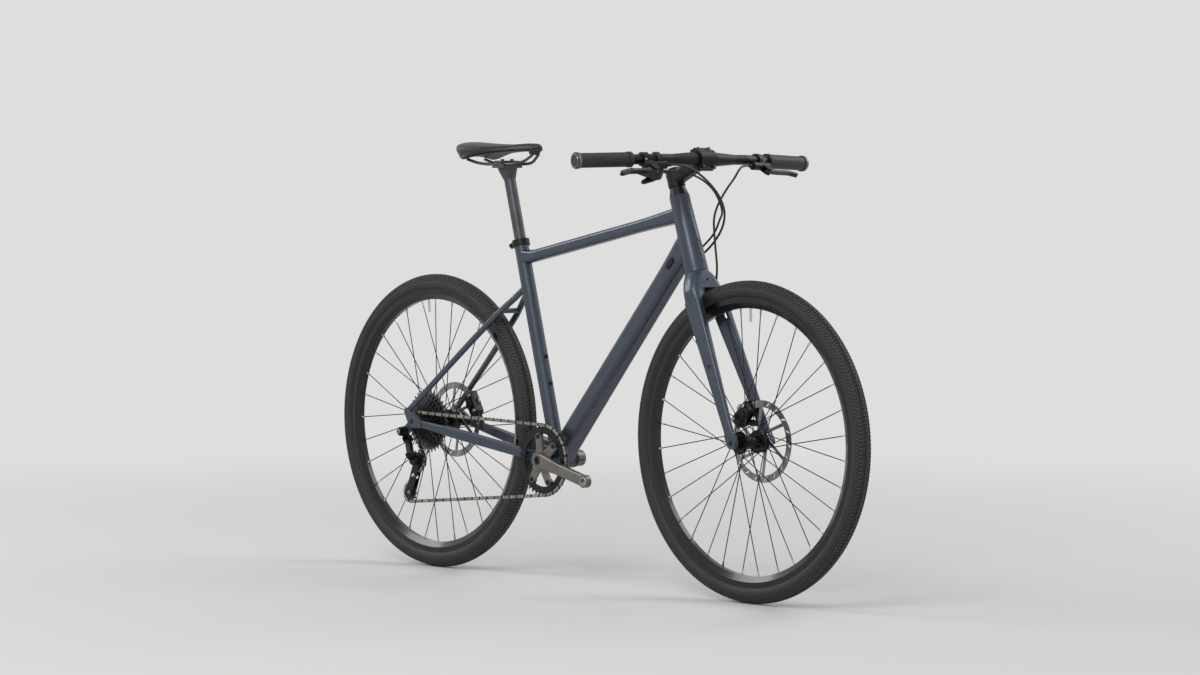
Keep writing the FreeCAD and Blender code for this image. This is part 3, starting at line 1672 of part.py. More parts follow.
def rim(label, centre):
    """Rim: a deep channel that narrows to the spoke bed."""
    knee_share = 0.5
    knee = rim_bed + D.rim_depth * knee_share
    half = D.rim_width / 2
    low = D.rim_spoke_bed_width / 2
    wall = D.rim_wall
    corners = [
        (rim_top, half),
        (knee, half),
        (rim_bed, low),
        (rim_bed, -low),
        (knee, -half),
        (rim_top, -half),
        (rim_top, wall - half),
        (knee, wall - half),
        (rim_bed + wall, wall / 2 - low),
        (rim_bed + wall, low - wall / 2),
        (knee, half - wall),
        (rim_top, half - wall),
    ]
    return node(label, turned(label, corners, axes(centre, Y, X)))


def wheel_point(centre, radius, angle, y):
    """Point of a wheel at a radius and an angle above straight ahead."""
    return centre + unit(angle) * float(radius) + Y * float(y)


def laced(wheel, centre, flanges, first_angle, valve_angle):
    """Spokes crossed three times from both flanges, their nipples and the valve."""
    step = 360 / float(D.spoke_count)
    lead = 2 * step * float(D.spoke_crossings)
    rim_end = rim_bed - D.spoke_bed_gap
    spokes = []
    nipples = []
    for index in range(int(float(D.spoke_count))):
        side = LEFT if index % 2 else RIGHT
        ahead = 1 if index // 2 % 2 else -1
        angle = first_angle + step * index
        offset = D.flange_thickness / 2 + D.spoke_radius
        if ahead == 1:
            reach = flanges[side] + offset + D.outer_spoke_gap
            inward = -side
        else:
            reach = flanges[side] - offset - D.running_clearance
            inward = side
        hub_end = wheel_point(centre, D.flange_hole_circle, angle + ahead * lead, side * reach)
        far_end = wheel_point(centre, rim_end, angle, side * D.spoke_rim_offset)
        along = (far_end - hub_end).normalize()
        neck = far_end - along * float(D.nipple_length)
        bar = prism(hub_end, neck, float(D.spoke_radius), 6)
        if ahead == 1:
            foot = hub_end + Y * (inward * float(D.spoke_radius + D.outer_spoke_gap - D.running_clearance))
            bar = bar.fuse(prism(hub_end, foot, float(D.spoke_radius), 6))
        spokes.append(bar)
        nipples.append(prism(neck, far_end, float(D.nipple_radius), 4))
    valve_foot = wheel_point(centre, rim_end, valve_angle, 0)
    valve_tip = wheel_point(centre, rim_end - D.valve_length, valve_angle, 0)
    nipples.append(prism(valve_tip, valve_foot, float(D.valve_radius), 6))
    several(wheel + "_spokes", spokes)
    return several(wheel + "_nipples", nipples)


hub_bore = D.axle_radius + D.running_clearance


def hub(label, centre, right_corners, right_flange, left_flange, left_end):
    """Hub shell with two flanges and the seat of the disc rotor on the left."""
    half = D.flange_thickness / 2
    shoulder = D.rotor_shoulder_radius
    seat = left_end + D.part_gap - D.rotor_inset - D.rotor_thickness / 2
    seat_end = seat + D.rotor_thickness + D.lock_ring_thickness
    corners = right_corners + [
        (right_corners[-1][0], -right_flange - half),
        (D.flange_radius, -right_flange - half),
        (D.flange_radius, half - right_flange),
        (D.hub_shell_radius, half - right_flange),
        (D.hub_shell_radius, left_flange - half),
        (D.flange_radius, left_flange - half),
        (D.flange_radius, left_flange + half),
        (shoulder, left_flange + half),
        (shoulder, seat),
        (D.rotor_seat_radius, seat),
        (D.rotor_seat_radius, seat_end),
        (D.end_cap_radius, seat_end),
        (D.end_cap_radius, left_end),
        (hub_bore, left_end),
    ]
    return node(label, turned(label, corners, axes(centre, Y, X)))


def rotor(label, centre, line):
    """Disc rotor: a slotted brake track on slanted arms, and its lock ring."""
    inside = D.rotor_seat_radius + D.running_clearance
    near = float(D.rotor_core_radius)
    far = float(D.rotor_radius - D.rotor_track)
    wires = [Part.Wire(Part.makeCircle(D.rotor_radius)), Part.Wire(Part.makeCircle(inside))]
    arms = int(float(D.rotor_arm_count))
    pitch = 360 / arms
    slant = float(D.rotor_slant_angle)
    near_half = math.degrees(math.asin(float(D.rotor_arm_width) / 2 / near))
    far_half = math.degrees(math.asin(float(D.rotor_arm_width) / 2 / far))
    for index in range(arms):
        angle = pitch * index
        low = [polar(near, angle + share) for share in (near_half, pitch / 2, pitch - near_half)]
        high = [polar(far, angle + slant + share) for share in (far_half, pitch / 2, pitch - far_half)]
        edges = [
            Part.Arc(*low).toShape(),
            Part.LineSegment(low[2], high[2]).toShape(),
            Part.Arc(high[2], high[1], high[0]).toShape(),
            Part.LineSegment(high[0], low[0]).toShape(),
        ]
        wires.append(Part.Wire(edges))
    slots = int(float(D.rotor_slot_count))
    half = float(D.rotor_slot_half_angle)
    lean = float(D.rotor_slot_lean_angle)
    bottom = D.rotor_radius - D.rotor_track + D.rotor_slot_margin
    top = D.rotor_radius - D.rotor_slot_margin
    for index in range(slots):
        angle = 360 * index / slots
        points = [polar(bottom, angle - half), polar(bottom, angle + half),
                  polar(top, angle + lean + half), polar(top, angle + lean - half)]
        wires.append(Part.makePolygon(points + points[:1]))
    face = Part.makeFace(wires, "Part::FaceMakerBullseye")
    plate = face.extrude(Vector(0, 0, D.rotor_thickness))
    place = axes(centre + Y * float(line - D.rotor_thickness / 2), Y, X)
    plate.Placement = place
    start = D.rotor_thickness
    lock = ring(label + "_lock_ring", inside, D.lock_ring_radius, start, start + D.lock_ring_thickness, place)
    return group(label, [piece(label + "_plate", plate), lock])


front_rotor_line = D.front_hub_width / 2 - D.rotor_inset
rear_rotor_line = D.rear_hub_width / 2 - D.rotor_inset


def front_wheel():
    """Every piece that spins with the front wheel."""
    tyre("front_tyre", front_axle)
    rim("front_rim", front_axle)
    flanges = {RIGHT: D.front_right_flange, LEFT: D.front_left_flange}
    laced("front", front_axle, flanges, float(D.front_spoke_angle), float(D.front_valve_angle))
    end = D.front_hub_width / 2 - D.part_gap
    right = [
        (hub_bore, -end),
        (D.end_cap_radius, -end),
        (D.end_cap_radius, D.end_cap_length - end),
        (D.hub_shell_radius, D.end_cap_length - end),
    ]
    hub("front_hub", front_axle, right, D.front_right_flange, D.front_left_flange, end)
    rotor("front_rotor", front_axle, front_rotor_line)


freehub_end = D.cog_line + D.tooth_thickness / 2


def rear_wheel():
    """Every piece that spins with the rear wheel."""
    tyre("rear_tyre", rear_axle)
    rim("rear_rim", rear_axle)
    flanges = {RIGHT: D.rear_right_flange, LEFT: D.rear_left_flange}
    laced("rear", rear_axle, flanges, float(D.rear_spoke_angle), float(D.rear_valve_angle))
    right = [
        (hub_bore, D.freehub_length - freehub_end + D.part_gap),
        (D.rotor_shoulder_radius, D.freehub_length - freehub_end + D.part_gap),
    ]
    end = D.rear_hub_width / 2 - D.part_gap
    hub("rear_hub", rear_axle, right, D.rear_right_flange, D.rear_left_flange, end)
    rotor("rear_rotor", rear_axle, rear_rotor_line)


# Brake calipers

def caliper(label, centre, line, angle, targets, seat):
    """Caliper round a rotor's edge with its pads, on two feet that are cut to sit on the frame."""
    radial = unit(float(angle))
    tangent = Y.cross(radial)
    middle = centre + Y * float(line) + radial * float(D.caliper_reach)
    outer = middle + Y * float(D.caliper_outboard)
    edge = D.caliper_edge
    sections = []
    for along, inset in (
        (-D.caliper_inboard, edge),
        (edge - D.caliper_inboard, 0),
        (D.caliper_outboard - edge, 0),
        (D.caliper_outboard, edge),
    ):
        place = middle + Y * float(along)
        sections.append(rounded(place, radial, tangent, D.caliper_depth - 2 * inset,
                                D.caliper_length - 2 * inset, D.caliper_corner))
    body = lofted(sections)
    body = body.fuse(pillar(D.caliper_cover_radius, outer, outer + Y * float(D.caliper_cover_height)))
    for way, target in zip((1, -1), targets):
        foot = middle + tangent * (way * float(D.caliper_foot_spread))
        foot = foot + Y * float(D.caliper_outboard - D.caliper_foot_radius)
        body = body.fuse(pillar(D.caliper_foot_radius, foot, target))
    half = float(D.caliper_slot / 2)
    room = D.rotor_radius + D.caliper_room
    slot = Part.makeCylinder(room, 2 * half, centre + Y * (float(line) - half), Y)
    body = largest(body.cut(seat).cut(slot))
    pads = []
    for way in (1, -1):
        pad = Part.makeBox(D.pad_height, D.pad_length, D.pad_thickness,
                           Vector(-D.pad_height / 2, -D.pad_length / 2, 0))
        low = half - float(D.pad_thickness) if way == 1 else -half
        pad.Placement = axes(middle + Y * low, Y, radial)
        pads.append(pad)
    return several(label, [body] + pads)


def front_caliper(leg):
    """Front caliper on the left fork leg."""
    upper_share = 0.8
    lower_share = 0.93
    targets = [leg_centre(LEFT, upper_share), leg_centre(LEFT, lower_share)]
    return caliper("front_caliper", front_axle, front_rotor_line, D.front_caliper_angle, targets, leg)


def rear_caliper(chainstay_outside):
    """Rear caliper on top of the left chainstay."""
    near_share = 0.93
    far_share = 0.86
    targets = []
    for share in (near_share, far_share):
        target = bracket + (chainstay_lug - bracket) * share
        target.y = float(D.chainstay_middle_spread + (dropout_middle - D.chainstay_middle_spread) * share)
        targets.append(target)
    return caliper("rear_caliper", rear_axle, rear_rotor_line, D.rear_caliper_angle, targets, chainstay_outside)


# Cranks and chainring

def crank_sections(side, direction):
    """Sections of a crank arm from the spindle to the pedal."""
    up = Y.cross(direction)
    waist_share = 0.5
    inner = D.crank_inner_face
    wires = []
    for share, tall, thick in eased([
        (0, 2 * D.crank_root_radius, D.crank_thickness),
        (waist_share, 2 * D.crank_waist_radius, D.crank_thickness),
        (1, 2 * D.crank_end_radius, D.crank_pedal_thickness),
    ]):
        near = inner + (D.crank_pedal_face - inner) * share
        centre = bracket + direction * (float(D.crank_length) * share)
        centre = centre + Y * (side * float(near + thick / 2))
        wires.append(rounded(centre, Y, up, thick, tall, D.crank_corner))
    return wires


def crank_arm(side, direction):
    """Crank arm with its hub and its threaded pedal boss."""
    start = bracket + Y * (side * float(D.shell_width / 2 + D.cup_width + D.part_gap))
    outer = bracket + Y * (side * float(D.crank_inner_face + D.crank_thickness))
    solid = pillar(D.crank_hub_radius, start, outer).fuse(lofted(crank_sections(side, direction)))
    pedal = bracket + direction * float(D.crank_length)
    near = pedal + Y * (side * float(D.crank_pedal_face))
    far = near + Y * (side * float(D.crank_pedal_thickness))
    solid = solid.fuse(pillar(D.crank_pedal_radius, near, far))
    cap = pillar(D.crank_cap_radius, outer - Y * (side * float(D.crank_cap_depth)),
                 outer + Y * (side * float(D.cut_overrun)))
    return solid.cut(bore(D.pedal_thread_radius, near, far)).cut(cap)


crank_ahead = unit(float(D.crank_angle))


def spider_angles():
    """Angles of the four spider arms above straight ahead."""
    turns = [side * float(turn) for turn in (D.spider_near_angle, D.spider_far_angle) for side in (1, -1)]
    return [float(D.crank_angle) + turn for turn in turns]


ring_outer = D.chainring_line + D.chainring_thickness / 2
ring_inner = D.chainring_line - D.chainring_thickness / 2


def crank_arm_right():
    """Right crank arm with the spider, and the spindle set in it."""
    solid = crank_arm(RIGHT, crank_ahead)
    holes = []
    for angle in spider_angles():
        tip = polar(D.spider_bolt_circle, angle)
        circles = [(0, 0, D.spider_root_radius), (tip.x, tip.y, D.spider_pad_radius)]
        solid = solid.fuse(hull(circles, D.spider_thickness, side_plane(bracket, -ring_outer)))
        holes.append(bolt_bore(angle))
    solid = solid.cut(Part.makeCompound(holes))
    inner = bracket - Y * float(D.crank_inner_face)
    end = bracket + Y * float(D.crank_inner_face + D.crank_cap_depth)
    spindle = pillar(D.spindle_radius, inner, end)
    spindle = spindle.cut(bore(D.spindle_radius - D.spindle_wall, bracket, end))
    socket = pillar(D.spindle_radius + D.running_clearance, inner, end)
    return several("crank_arm_right", [largest(solid.cut(socket)), spindle])


def crank_arm_left():
    """Left crank arm, split and pinched on the spindle by two bolts."""
    solid = crank_arm(LEFT, crank_ahead * -1)
    start = bracket + Y * float(D.shell_width / 2)
    end = bracket + Y * float(D.crank_inner_face + D.crank_cap_depth)
    hole = pillar(D.spindle_radius + D.running_clearance, start, end)
    slot = Part.makeBox(D.crank_hub_radius, D.crank_thickness, D.pinch_slot)
    middle = bracket + crank_ahead * float(D.spindle_radius) + Y * float(start.y + D.cup_width)
    slot.Placement = Placement(middle, Rotation(crank_ahead, Y, crank_ahead.cross(Y), "ZXY"))
    return feature("crank_arm_left", largest(solid.cut(hole).cut(slot)))


def bolt_bore(angle):
    """Cutter for one chainring bolt."""
    place = wheel_point(bracket, D.spider_bolt_circle, angle, -ring_inner)
    radius = D.chainring_bolt_radius + D.running_clearance
    return bore(radius, place, place - Y * float(D.chainring_thickness + D.spider_thickness))


def pitch_radius(teeth):
    """Radius of a sprocket's pitch circle."""
    return float(D.chain_pitch) / (2 * math.sin(math.pi / float(teeth)))


def toothed(teeth, phase, inner, thickness, place):
    """A sprocket plate: phase is the angle of one roller above straight ahead."""
    radius = pitch_radius(teeth)
    count = int(float(teeth))
    root = radius - float(D.tooth_gap_depth)
    half = math.degrees(math.asin(float(D.tooth_gap_half) / root))
    points = []
    for index in range(count):
        angle = phase + 360 * index / count
        points.append(polar(root, angle - half))
        points.append(polar(root, angle + half))
        points.append(polar(radius + float(D.tooth_height), angle + 180 / count))
    outline = Part.makePolygon(points + points[:1])
    hole = Part.Wire(Part.makeCircle(inner))
    solid = Part.makeFace([outline, hole], "Part::FaceMakerBullseye").extrude(Vector(0, 0, thickness))
    solid.Placement = place
    return solid


def chainring(phase):
    """Chainring with four tabs under the spider, and its bolts."""
    inner = D.chainring_inner_radius
    place = side_plane(bracket, float(D.tooth_thickness / 2 - D.chainring_line))
    solid = toothed(D.chainring_teeth, phase, inner, D.tooth_thickness, place)
    web = Part.makeCylinder(D.chainring_web_radius, D.chainring_thickness)
    web = web.cut(Part.makeCylinder(inner, D.chainring_thickness))
    for angle in spider_angles():
        tab = polar(D.spider_bolt_circle, angle)
        tail = polar(inner, angle)
        circles = [(tab.x, tab.y, D.spider_pad_radius), (tail.x, tail.y, D.spider_pad_radius)]
        web = web.fuse(hull_face(circles).extrude(Vector(0, 0, D.chainring_thickness)))
    web.Placement = side_plane(bracket, -ring_inner)
    solid = solid.fuse(web)
    bolts = []
    for angle in spider_angles():
        solid = solid.cut(bolt_bore(angle))
        near = wheel_point(bracket, D.spider_bolt_circle, angle, -ring_inner)
        far = near - Y * float(D.chainring_thickness + D.spider_thickness)
        proud = Y * float(D.chainring_bolt_proud)
        bolt = pillar(D.chainring_bolt_radius, near, far)
        bolt = bolt.fuse(pillar(D.chainring_bolt_head_radius, near, near + proud))
        bolts.append(bolt.fuse(pillar(D.chainring_bolt_head_radius, far, far - proud)))
    return several("chainring", [largest(solid)] + bolts)


# Chain and cassette

cog_y = -float(D.cog_line)
guide_centre = rear_axle + Vector(D.guide_ahead, 0, -D.guide_drop)


def tension_centre(cage_angle):
    """Middle of the tension pulley when the cage points at an angle above straight ahead."""
    return guide_centre + unit(cage_angle) * float(D.cage_length)


def chain_wheels(cage_angle):
    """The chain's wheels in its order of travel, as (centre, pitch radius, turn, y)."""
    tension = tension_centre(cage_angle)
    line = -float(D.chainring_line)
    return [
        (bracket, pitch_radius(D.chainring_teeth), 1, line),
        (rear_axle, pitch_radius(D.small_cog_teeth), 1, cog_y),
        (guide_centre, pitch_radius(D.pulley_teeth), -1, cog_y),
        (tension, pitch_radius(D.pulley_teeth), 1, cog_y),
    ]


def rim_point(wheel, heading):
    """Where the chain touches a wheel when it travels along a heading."""
    centre, radius, turn, y = wheel
    normal = Vector(math.sin(heading), 0, -math.cos(heading))
    return Vector(centre.x, 0, centre.z) + normal * (turn * radius) + Y * y


def chain_legs(wheels):
    """Arcs and straight runs of the chain: (length, wheel, first heading) and (length, start, end)."""
    headings = []
    for index, (centre, radius, turn, y) in enumerate(wheels):
        after = wheels[(index + 1) % len(wheels)]
        way = after[0] - centre
        lean = math.asin((turn * radius - after[2] * after[1]) / math.hypot(way.x, way.z))
        headings.append(math.atan2(way.z, way.x) + lean)
    legs = []
    for index, wheel in enumerate(wheels):
        begin = headings[index - 1]
        sweep = (wheel[2] * (headings[index] - begin)) % (2 * math.pi)
        legs.append((wheel[1] * sweep, wheel, begin))
        start = rim_point(wheel, headings[index])
        end = rim_point(wheels[(index + 1) % len(wheels)], headings[index])
        legs.append(((end - start).Length, start, end))
    return legs


def chain_point(legs, way):
    """Point of the chain's middle line a way along it."""
    way = way % sum(leg[0] for leg in legs)
    for length, first, second in legs:
        if way <= length:
            break
        way = way - length
    if isinstance(second, float):
        return rim_point(first, second + first[2] * way / first[1])
    share = min(way / length, 1)
    point = first + (second - first) * share
    point.y = first.y + (second.y - first.y) * share * share * (3 - 2 * share)
    return point


def chain_march(legs, count):
    """Ways along the chain of its pins, each one pitch from the pin before."""
    pitch = float(D.chain_pitch)
    longest_share = 1.1
    ways = [0]
    for index in range(count):
        here = chain_point(legs, ways[-1])
        low = ways[-1] + pitch / 2
        high = ways[-1] + pitch * longest_share
        for half in range(24):
            middle = (low + high) / 2
            if (chain_point(legs, middle) - here).Length < pitch:
                low = middle
            else:
                high = middle
        ways.append(low)
    return ways


def chain_excess(cage_angle, count):
    """How far a chain of so many links runs past its start."""
    legs = chain_legs(chain_wheels(cage_angle))
    return chain_march(legs, count)[-1] - sum(leg[0] for leg in legs)


def closed_chain():
    """Number of links, and the cage angle that a chain of whole links asks for."""
    middle = float(D.cage_angle)
    total = sum(leg[0] for leg in chain_legs(chain_wheels(middle)))
    count = 2 * round(total / float(D.chain_pitch) / 2)
    spread = float(D.cage_spread_angle)
    low, high = middle - spread, middle + spread
    rising = chain_excess(high, count) > chain_excess(low, count)
    for half in range(24):
        middle = (low + high) / 2
        if (chain_excess(middle, count) > 0) == rising:
            high = middle
        else:
            low = middle
    return count, middle


chain_count, cage_turn = closed_chain()
chain_route = chain_legs(chain_wheels(cage_turn))
chain_pins = [chain_point(chain_route, way) for way in chain_march(chain_route, chain_count)[:-1]]
print("chain links", chain_count, "cage angle %.2f" % cage_turn)


def roller_angle(centre):
    """Angle above straight ahead of the chain's pin next to a wheel's middle."""
    pin = min(chain_pins, key=lambda point: math.hypot(point.x - centre.x, point.z - centre.z))
    return math.degrees(math.atan2(pin.z - centre.z, pin.x - centre.x))


def link_plate(start, end, near, thickness):
    """One side plate of a link, from a distance off the chain's middle plane."""
    along = end - start
    reach = along.Length / 2
    along.normalize()
    out = (Y * -1 - along * (along.dot(Y) * -1)).normalize()
    tall = float(D.chain_plate_height) / 2
    tip_share = 0.7
    tip = reach + tall * tip_share
    corners = [(-tip, 0), (-reach, -tall), (reach, -tall), (tip, 0), (reach, tall), (-reach, tall)]
    points = [Vector(u, v, 0) for u, v in corners]
    solid = Part.Face(Part.makePolygon(points + points[:1])).extrude(Vector(0, 0, thickness))
    solid.Placement = axes((start + end) * 0.5 + out * float(near), out, along)
    return solid


def chain():
    """Chain: inner links with rollers and outer links by turns, each piece its own solid."""
    thick = float(D.chain_plate_thickness)
    inner = float(D.chain_inner_half)
    outer = inner + thick + float(D.chain_plate_gap)
    pieces = []
    for index, start in enumerate(chain_pins):
        end = chain_pins[(index + 1) % chain_count]
        near = inner if index % 2 == 0 else outer
        pieces.append(link_plate(start, end, near, thick))
        pieces.append(link_plate(start, end, -near - thick, thick))
        half = Y * inner
        if index % 2 == 0:
            pieces.append(prism(start - half, start + half, float(D.roller_radius), 6))
            pieces.append(prism(end - half, end + half, float(D.roller_radius), 6))
    return several("chain", pieces)


def cassette():
    """Freehub body, nine cogs on it and the lock ring."""
    place = axes(rear_axle, Y, X)
    end = -freehub_end
    core = ring("freehub", hub_bore, D.freehub_radius, end, end + D.freehub_length, place)
    lock = ring("cassette_lock_ring", hub_bore, D.lockring_radius, end - D.lockring_thickness, end, place)
    inside = D.freehub_radius + D.running_clearance
    pieces = [core, lock]
    phase = roller_angle(rear_axle)
    for index, teeth in enumerate(COG_TEETH):
        face = -float(D.cog_line - D.cog_step * index - D.tooth_thickness / 2)
        cog = toothed(teeth, phase, inside, D.tooth_thickness, side_plane(rear_axle, face))
        pieces.append(piece("cog_%d" % teeth, cog))
    return group("cassette", pieces)


# Rear derailleur

link_down = unit(-float(D.link_fall_angle))
slant_turn = math.radians(float(D.link_slant_angle))
link_inward = Y * math.cos(slant_turn) + Y.cross(link_down) * math.sin(slant_turn)
link_axis = link_down.cross(link_inward)
lean_turn = math.radians(float(D.link_lean_angle))
link_along = link_down * math.cos(lean_turn) - link_inward * math.sin(lean_turn)
cage_outer = float(D.cog_line + D.cage_half_gap + D.cage_plate_thickness)
knuckle_face = -cage_outer - float(D.part_gap)
cheek_half = float(D.link_height / 2 + D.link_clearance + D.cheek_thickness)
inner_pin_y = knuckle_face - cheek_half * link_axis.y - float(D.cheek_radius) * link_inward.y
lower_inner = guide_centre + Vector(-D.knuckle_pin_back, inner_pin_y, D.knuckle_pin_rise)
link_gap = link_inward * float(D.link_spacing)
lower_outer = lower_inner - link_gap
upper_outer = lower_outer - link_along * float(D.link_length)
upper_inner = upper_outer + link_gap


def derailleur_link(label, upper):
    """One link of the parallelogram, bored for a pin at each end."""
    start = upper - link_axis * float(D.link_height / 2)
    solid = hull([(0, 0, D.link_radius), (D.link_length, 0, D.link_radius)], D.link_height,
                 axes(start, link_axis, link_along))
    for place in (start, start + link_along * float(D.link_length)):
        hole = bore(D.link_pin_radius + D.running_clearance, place, place + link_axis * float(D.link_height))
        solid = solid.cut(hole)
    return feature(label, solid)


def clevis(pin, back, arms):
    """A fork with two pins for the links, and its arms: back is +1 when its web is below the pins."""
    radius = float(D.cheek_radius)
    web = back * (float(D.link_radius + D.link_clearance))
    place = axes(pin - link_axis * cheek_half, link_axis, link_down)
    shift = back * (radius - float(2 * D.link_pin_radius))
    circles = [(shift, 0, radius), (shift, D.link_spacing, radius)]
    solid = hull(circles, 2 * cheek_half, place)
    for arm in arms:
        solid = solid.fuse(arm)
    room = float(D.link_height / 2 + D.link_clearance)
    size = 4 * radius
    slot = Part.makeBox(size, 2 * size, 2 * room, Vector(-size if back == 1 else 0, -size, -room))
    slot.Placement = axes(pin + link_down * web, link_axis, link_down)
    solid = solid.cut(slot)
    reach = link_axis * cheek_half
    for middle in (pin, pin + link_gap):
        solid = solid.fuse(pillar(D.link_pin_radius, middle - reach, middle + reach))
    return solid


def clevis_back(pin, back):
    """Middle of a clevis's web."""
    deep = 2 * D.cheek_radius - 2 * D.link_pin_radius
    web = D.link_radius + D.link_clearance
    return pin + link_gap * 0.5 + link_down * (back * float(deep + web) / 2)


def derailleur_body():
    """Body on the hanger bolt, with the upper pins of the links."""
    face = hanger_face - float(D.hanger_thickness + D.part_gap)
    near = Vector(hanger_hole.x, face, hanger_hole.z)
    far = near - Y * float(D.knuckle_thickness)
    arm = pillar(D.knuckle_arm_radius, (near + far) * 0.5, clevis_back(upper_outer, -1))
    solid = clevis(upper_outer, -1, [arm])
    solid = solid.cut(hanger_plate(D.part_gap)).fuse(pillar(D.knuckle_radius, near, far))
    head = far - Y * float(D.hanger_bolt_head_length)
    solid = solid.fuse(pillar(D.hanger_bolt_head_radius, far, head))
    root = near + Y * float(D.hanger_thickness + D.part_gap)
    solid = solid.fuse(pillar(D.hanger_bolt_radius, root, near))
    return feature("derailleur_body", largest(solid))


def derailleur_knuckle():
    """Knuckle at the foot of the links, bored for the cage's pivot."""
    near = guide_centre + Y * knuckle_face
    far = near - Y * float(D.knuckle_thickness)
    arm = pillar(D.knuckle_arm_radius, (near + far) * 0.5, clevis_back(lower_outer, 1))
    solid = clevis(lower_outer, 1, [pillar(D.knuckle_radius, near, far), arm])
    size = 4 * float(D.knuckle_thickness)
    inboard = Part.makeBox(size, size, size, near - Vector(size / 2, 0, size / 2))
    solid = solid.cut(inboard).cut(bore(D.cage_pivot_radius + D.running_clearance, near, far))
    return feature("derailleur_knuckle", largest(solid))


def derailleur_cage():
    """Cage: two plates, the pulley bolts and the pivot that turns in the knuckle."""
    tension = tension_centre(cage_turn)
    line = Y * cog_y
    gap = float(D.cage_half_gap)
    thick = float(D.cage_plate_thickness)
    way = tension - guide_centre
    circles = [(0, 0, D.cage_plate_radius), (way.x, way.z, D.cage_plate_radius)]
    outer = hull(circles, thick, side_plane(guide_centre, cog_y - gap))
    inner = hull(circles, thick, side_plane(guide_centre, cog_y + gap + thick))
    waist_share = 0.5
    window = [(way.x * waist_share, way.z * waist_share, D.cage_window_radius)]
    for plate in (outer, inner):
        place = guide_centre + Vector(window[0][0], 0, window[0][1]) + line
        over = Y * (gap + 2 * thick)
        hole = pillar(D.cage_window_radius, place - over, place + over)
        outer = outer.cut(hole) if plate is outer else outer
        inner = inner.cut(hole) if plate is inner else inner
    solid = outer.fuse(inner)
    for place in (guide_centre, tension):
        middle = place + line
        solid = solid.fuse(pillar(D.pulley_bore_radius, middle - Y * gap, middle + Y * gap))
        head = middle + Y * (gap + thick)
        solid = solid.fuse(pillar(D.cage_bolt_head_radius, head, head + Y * thick))
    near = guide_centre - Y * cage_outer
    end = guide_centre + Y * (knuckle_face - float(D.knuckle_thickness))
    return feature("derailleur_cage", solid.fuse(pillar(D.cage_pivot_radius, near, end)))


def pulley(label, centre):
    """Toothed pulley in the cage."""
    inside = D.pulley_bore_radius + D.running_clearance
    face = cog_y + float(D.pulley_thickness / 2)
    place = side_plane(centre, face)
    return feature(label, toothed(D.pulley_teeth, roller_angle(centre), inside, D.pulley_thickness, place))


def derailleur():
    """Every piece of the rear derailleur."""
    derailleur_body()
    derailleur_link("derailleur_outer_link", upper_outer)
    derailleur_link("derailleur_inner_link", upper_inner)
    derailleur_knuckle()
    derailleur_cage()
    pulley("guide_pulley", guide_centre)
    pulley("tension_pulley", tension_centre(cage_turn))


# Seatpost and saddle

post_bottom = seat_top - seat_up * float(D.seatpost_insertion)
post_top = seat_top + seat_up * float(D.seatpost_rise)
rail_middle = post_top + seat_up * float(D.clamp_rise)
rail_height = rail_middle.z


def slab(length, width, low, high):
    """A block on the rail clamp, centred fore and aft, between two heights over the rails."""
    box = Part.makeBox(length, width, high - low, Vector(-length / 2, -width / 2, low))
    box.Placement = Placement(rail_middle, Rotation())
    return box


def rail_grooves():
    """Cutters for the two rails through the clamp."""
    reach = X * float(D.rail_clamp_half)
    radius = D.rail_radius + D.running_clearance
    grooves = []
    for side in SIDES.values():
        middle = rail_middle + Y * (side * float(D.rail_spread))
        grooves.append(pillar(radius, middle - reach, middle + reach))
    return Part.makeCompound(grooves)


def seatpost():
    """Seatpost with its forged head and cradle, the upper rail clamp and two bolts."""
    round_width = 2 * D.seatpost_radius
    tube = pillar(D.seatpost_radius, post_bottom, post_top)
    neck_share = 0.6
    neck = post_top + (rail_middle - post_top) * neck_share
    foot = rail_middle - Z * float(D.cradle_height / 2)
    head = lofted([
        rounded(post_top, Y, seat_ahead, round_width, round_width, round_width / 2),
        rounded(neck, Y, seat_ahead, D.post_head_width, (round_width + D.post_head_length) / 2, D.post_head_corner),
        rounded(foot, Y, X, D.post_head_width, D.post_head_length, D.post_head_corner),
    ])
    wide = 2 * (D.rail_spread + 2 * D.rail_radius)
    half_gap = D.part_gap
    cradle = slab(D.cradle_length, wide, -D.cradle_height, -half_gap)
    grooves = rail_grooves()
    solid = tube.fuse(head).fuse(cradle)
    hollow = bore(D.seatpost_radius - D.seatpost_wall, post_bottom, post_top - seat_up * float(D.seatpost_radius))
    lid = slab(D.rail_clamp_width, wide, half_gap, D.rail_clamp_height)
    lid = lid.fuse(slab(D.post_head_length, D.post_head_width / 2, half_gap, D.rail_clamp_height))
    bolts = []
    holes = []
    for way in (1, -1):
        place = rail_middle + X * (way * float(D.clamp_bolt_reach))
        low = place - Z * float(D.cradle_height)
        top = place + Z * float(D.rail_clamp_height)
        shank = pillar(D.collar_bolt_radius, low, top)
        bolts.append(shank.fuse(pillar(D.collar_bolt_head_radius, top, top + Z * float(D.clamp_bolt_head_length))))
        holes.append(pillar(D.collar_bolt_radius + D.running_clearance, low, top))
    holes = Part.makeCompound(holes)
    solid = solid.cut(hollow).cut(grooves).cut(holes)
    return several("seatpost", [largest(solid), largest(lid.cut(grooves).cut(holes))] + bolts)


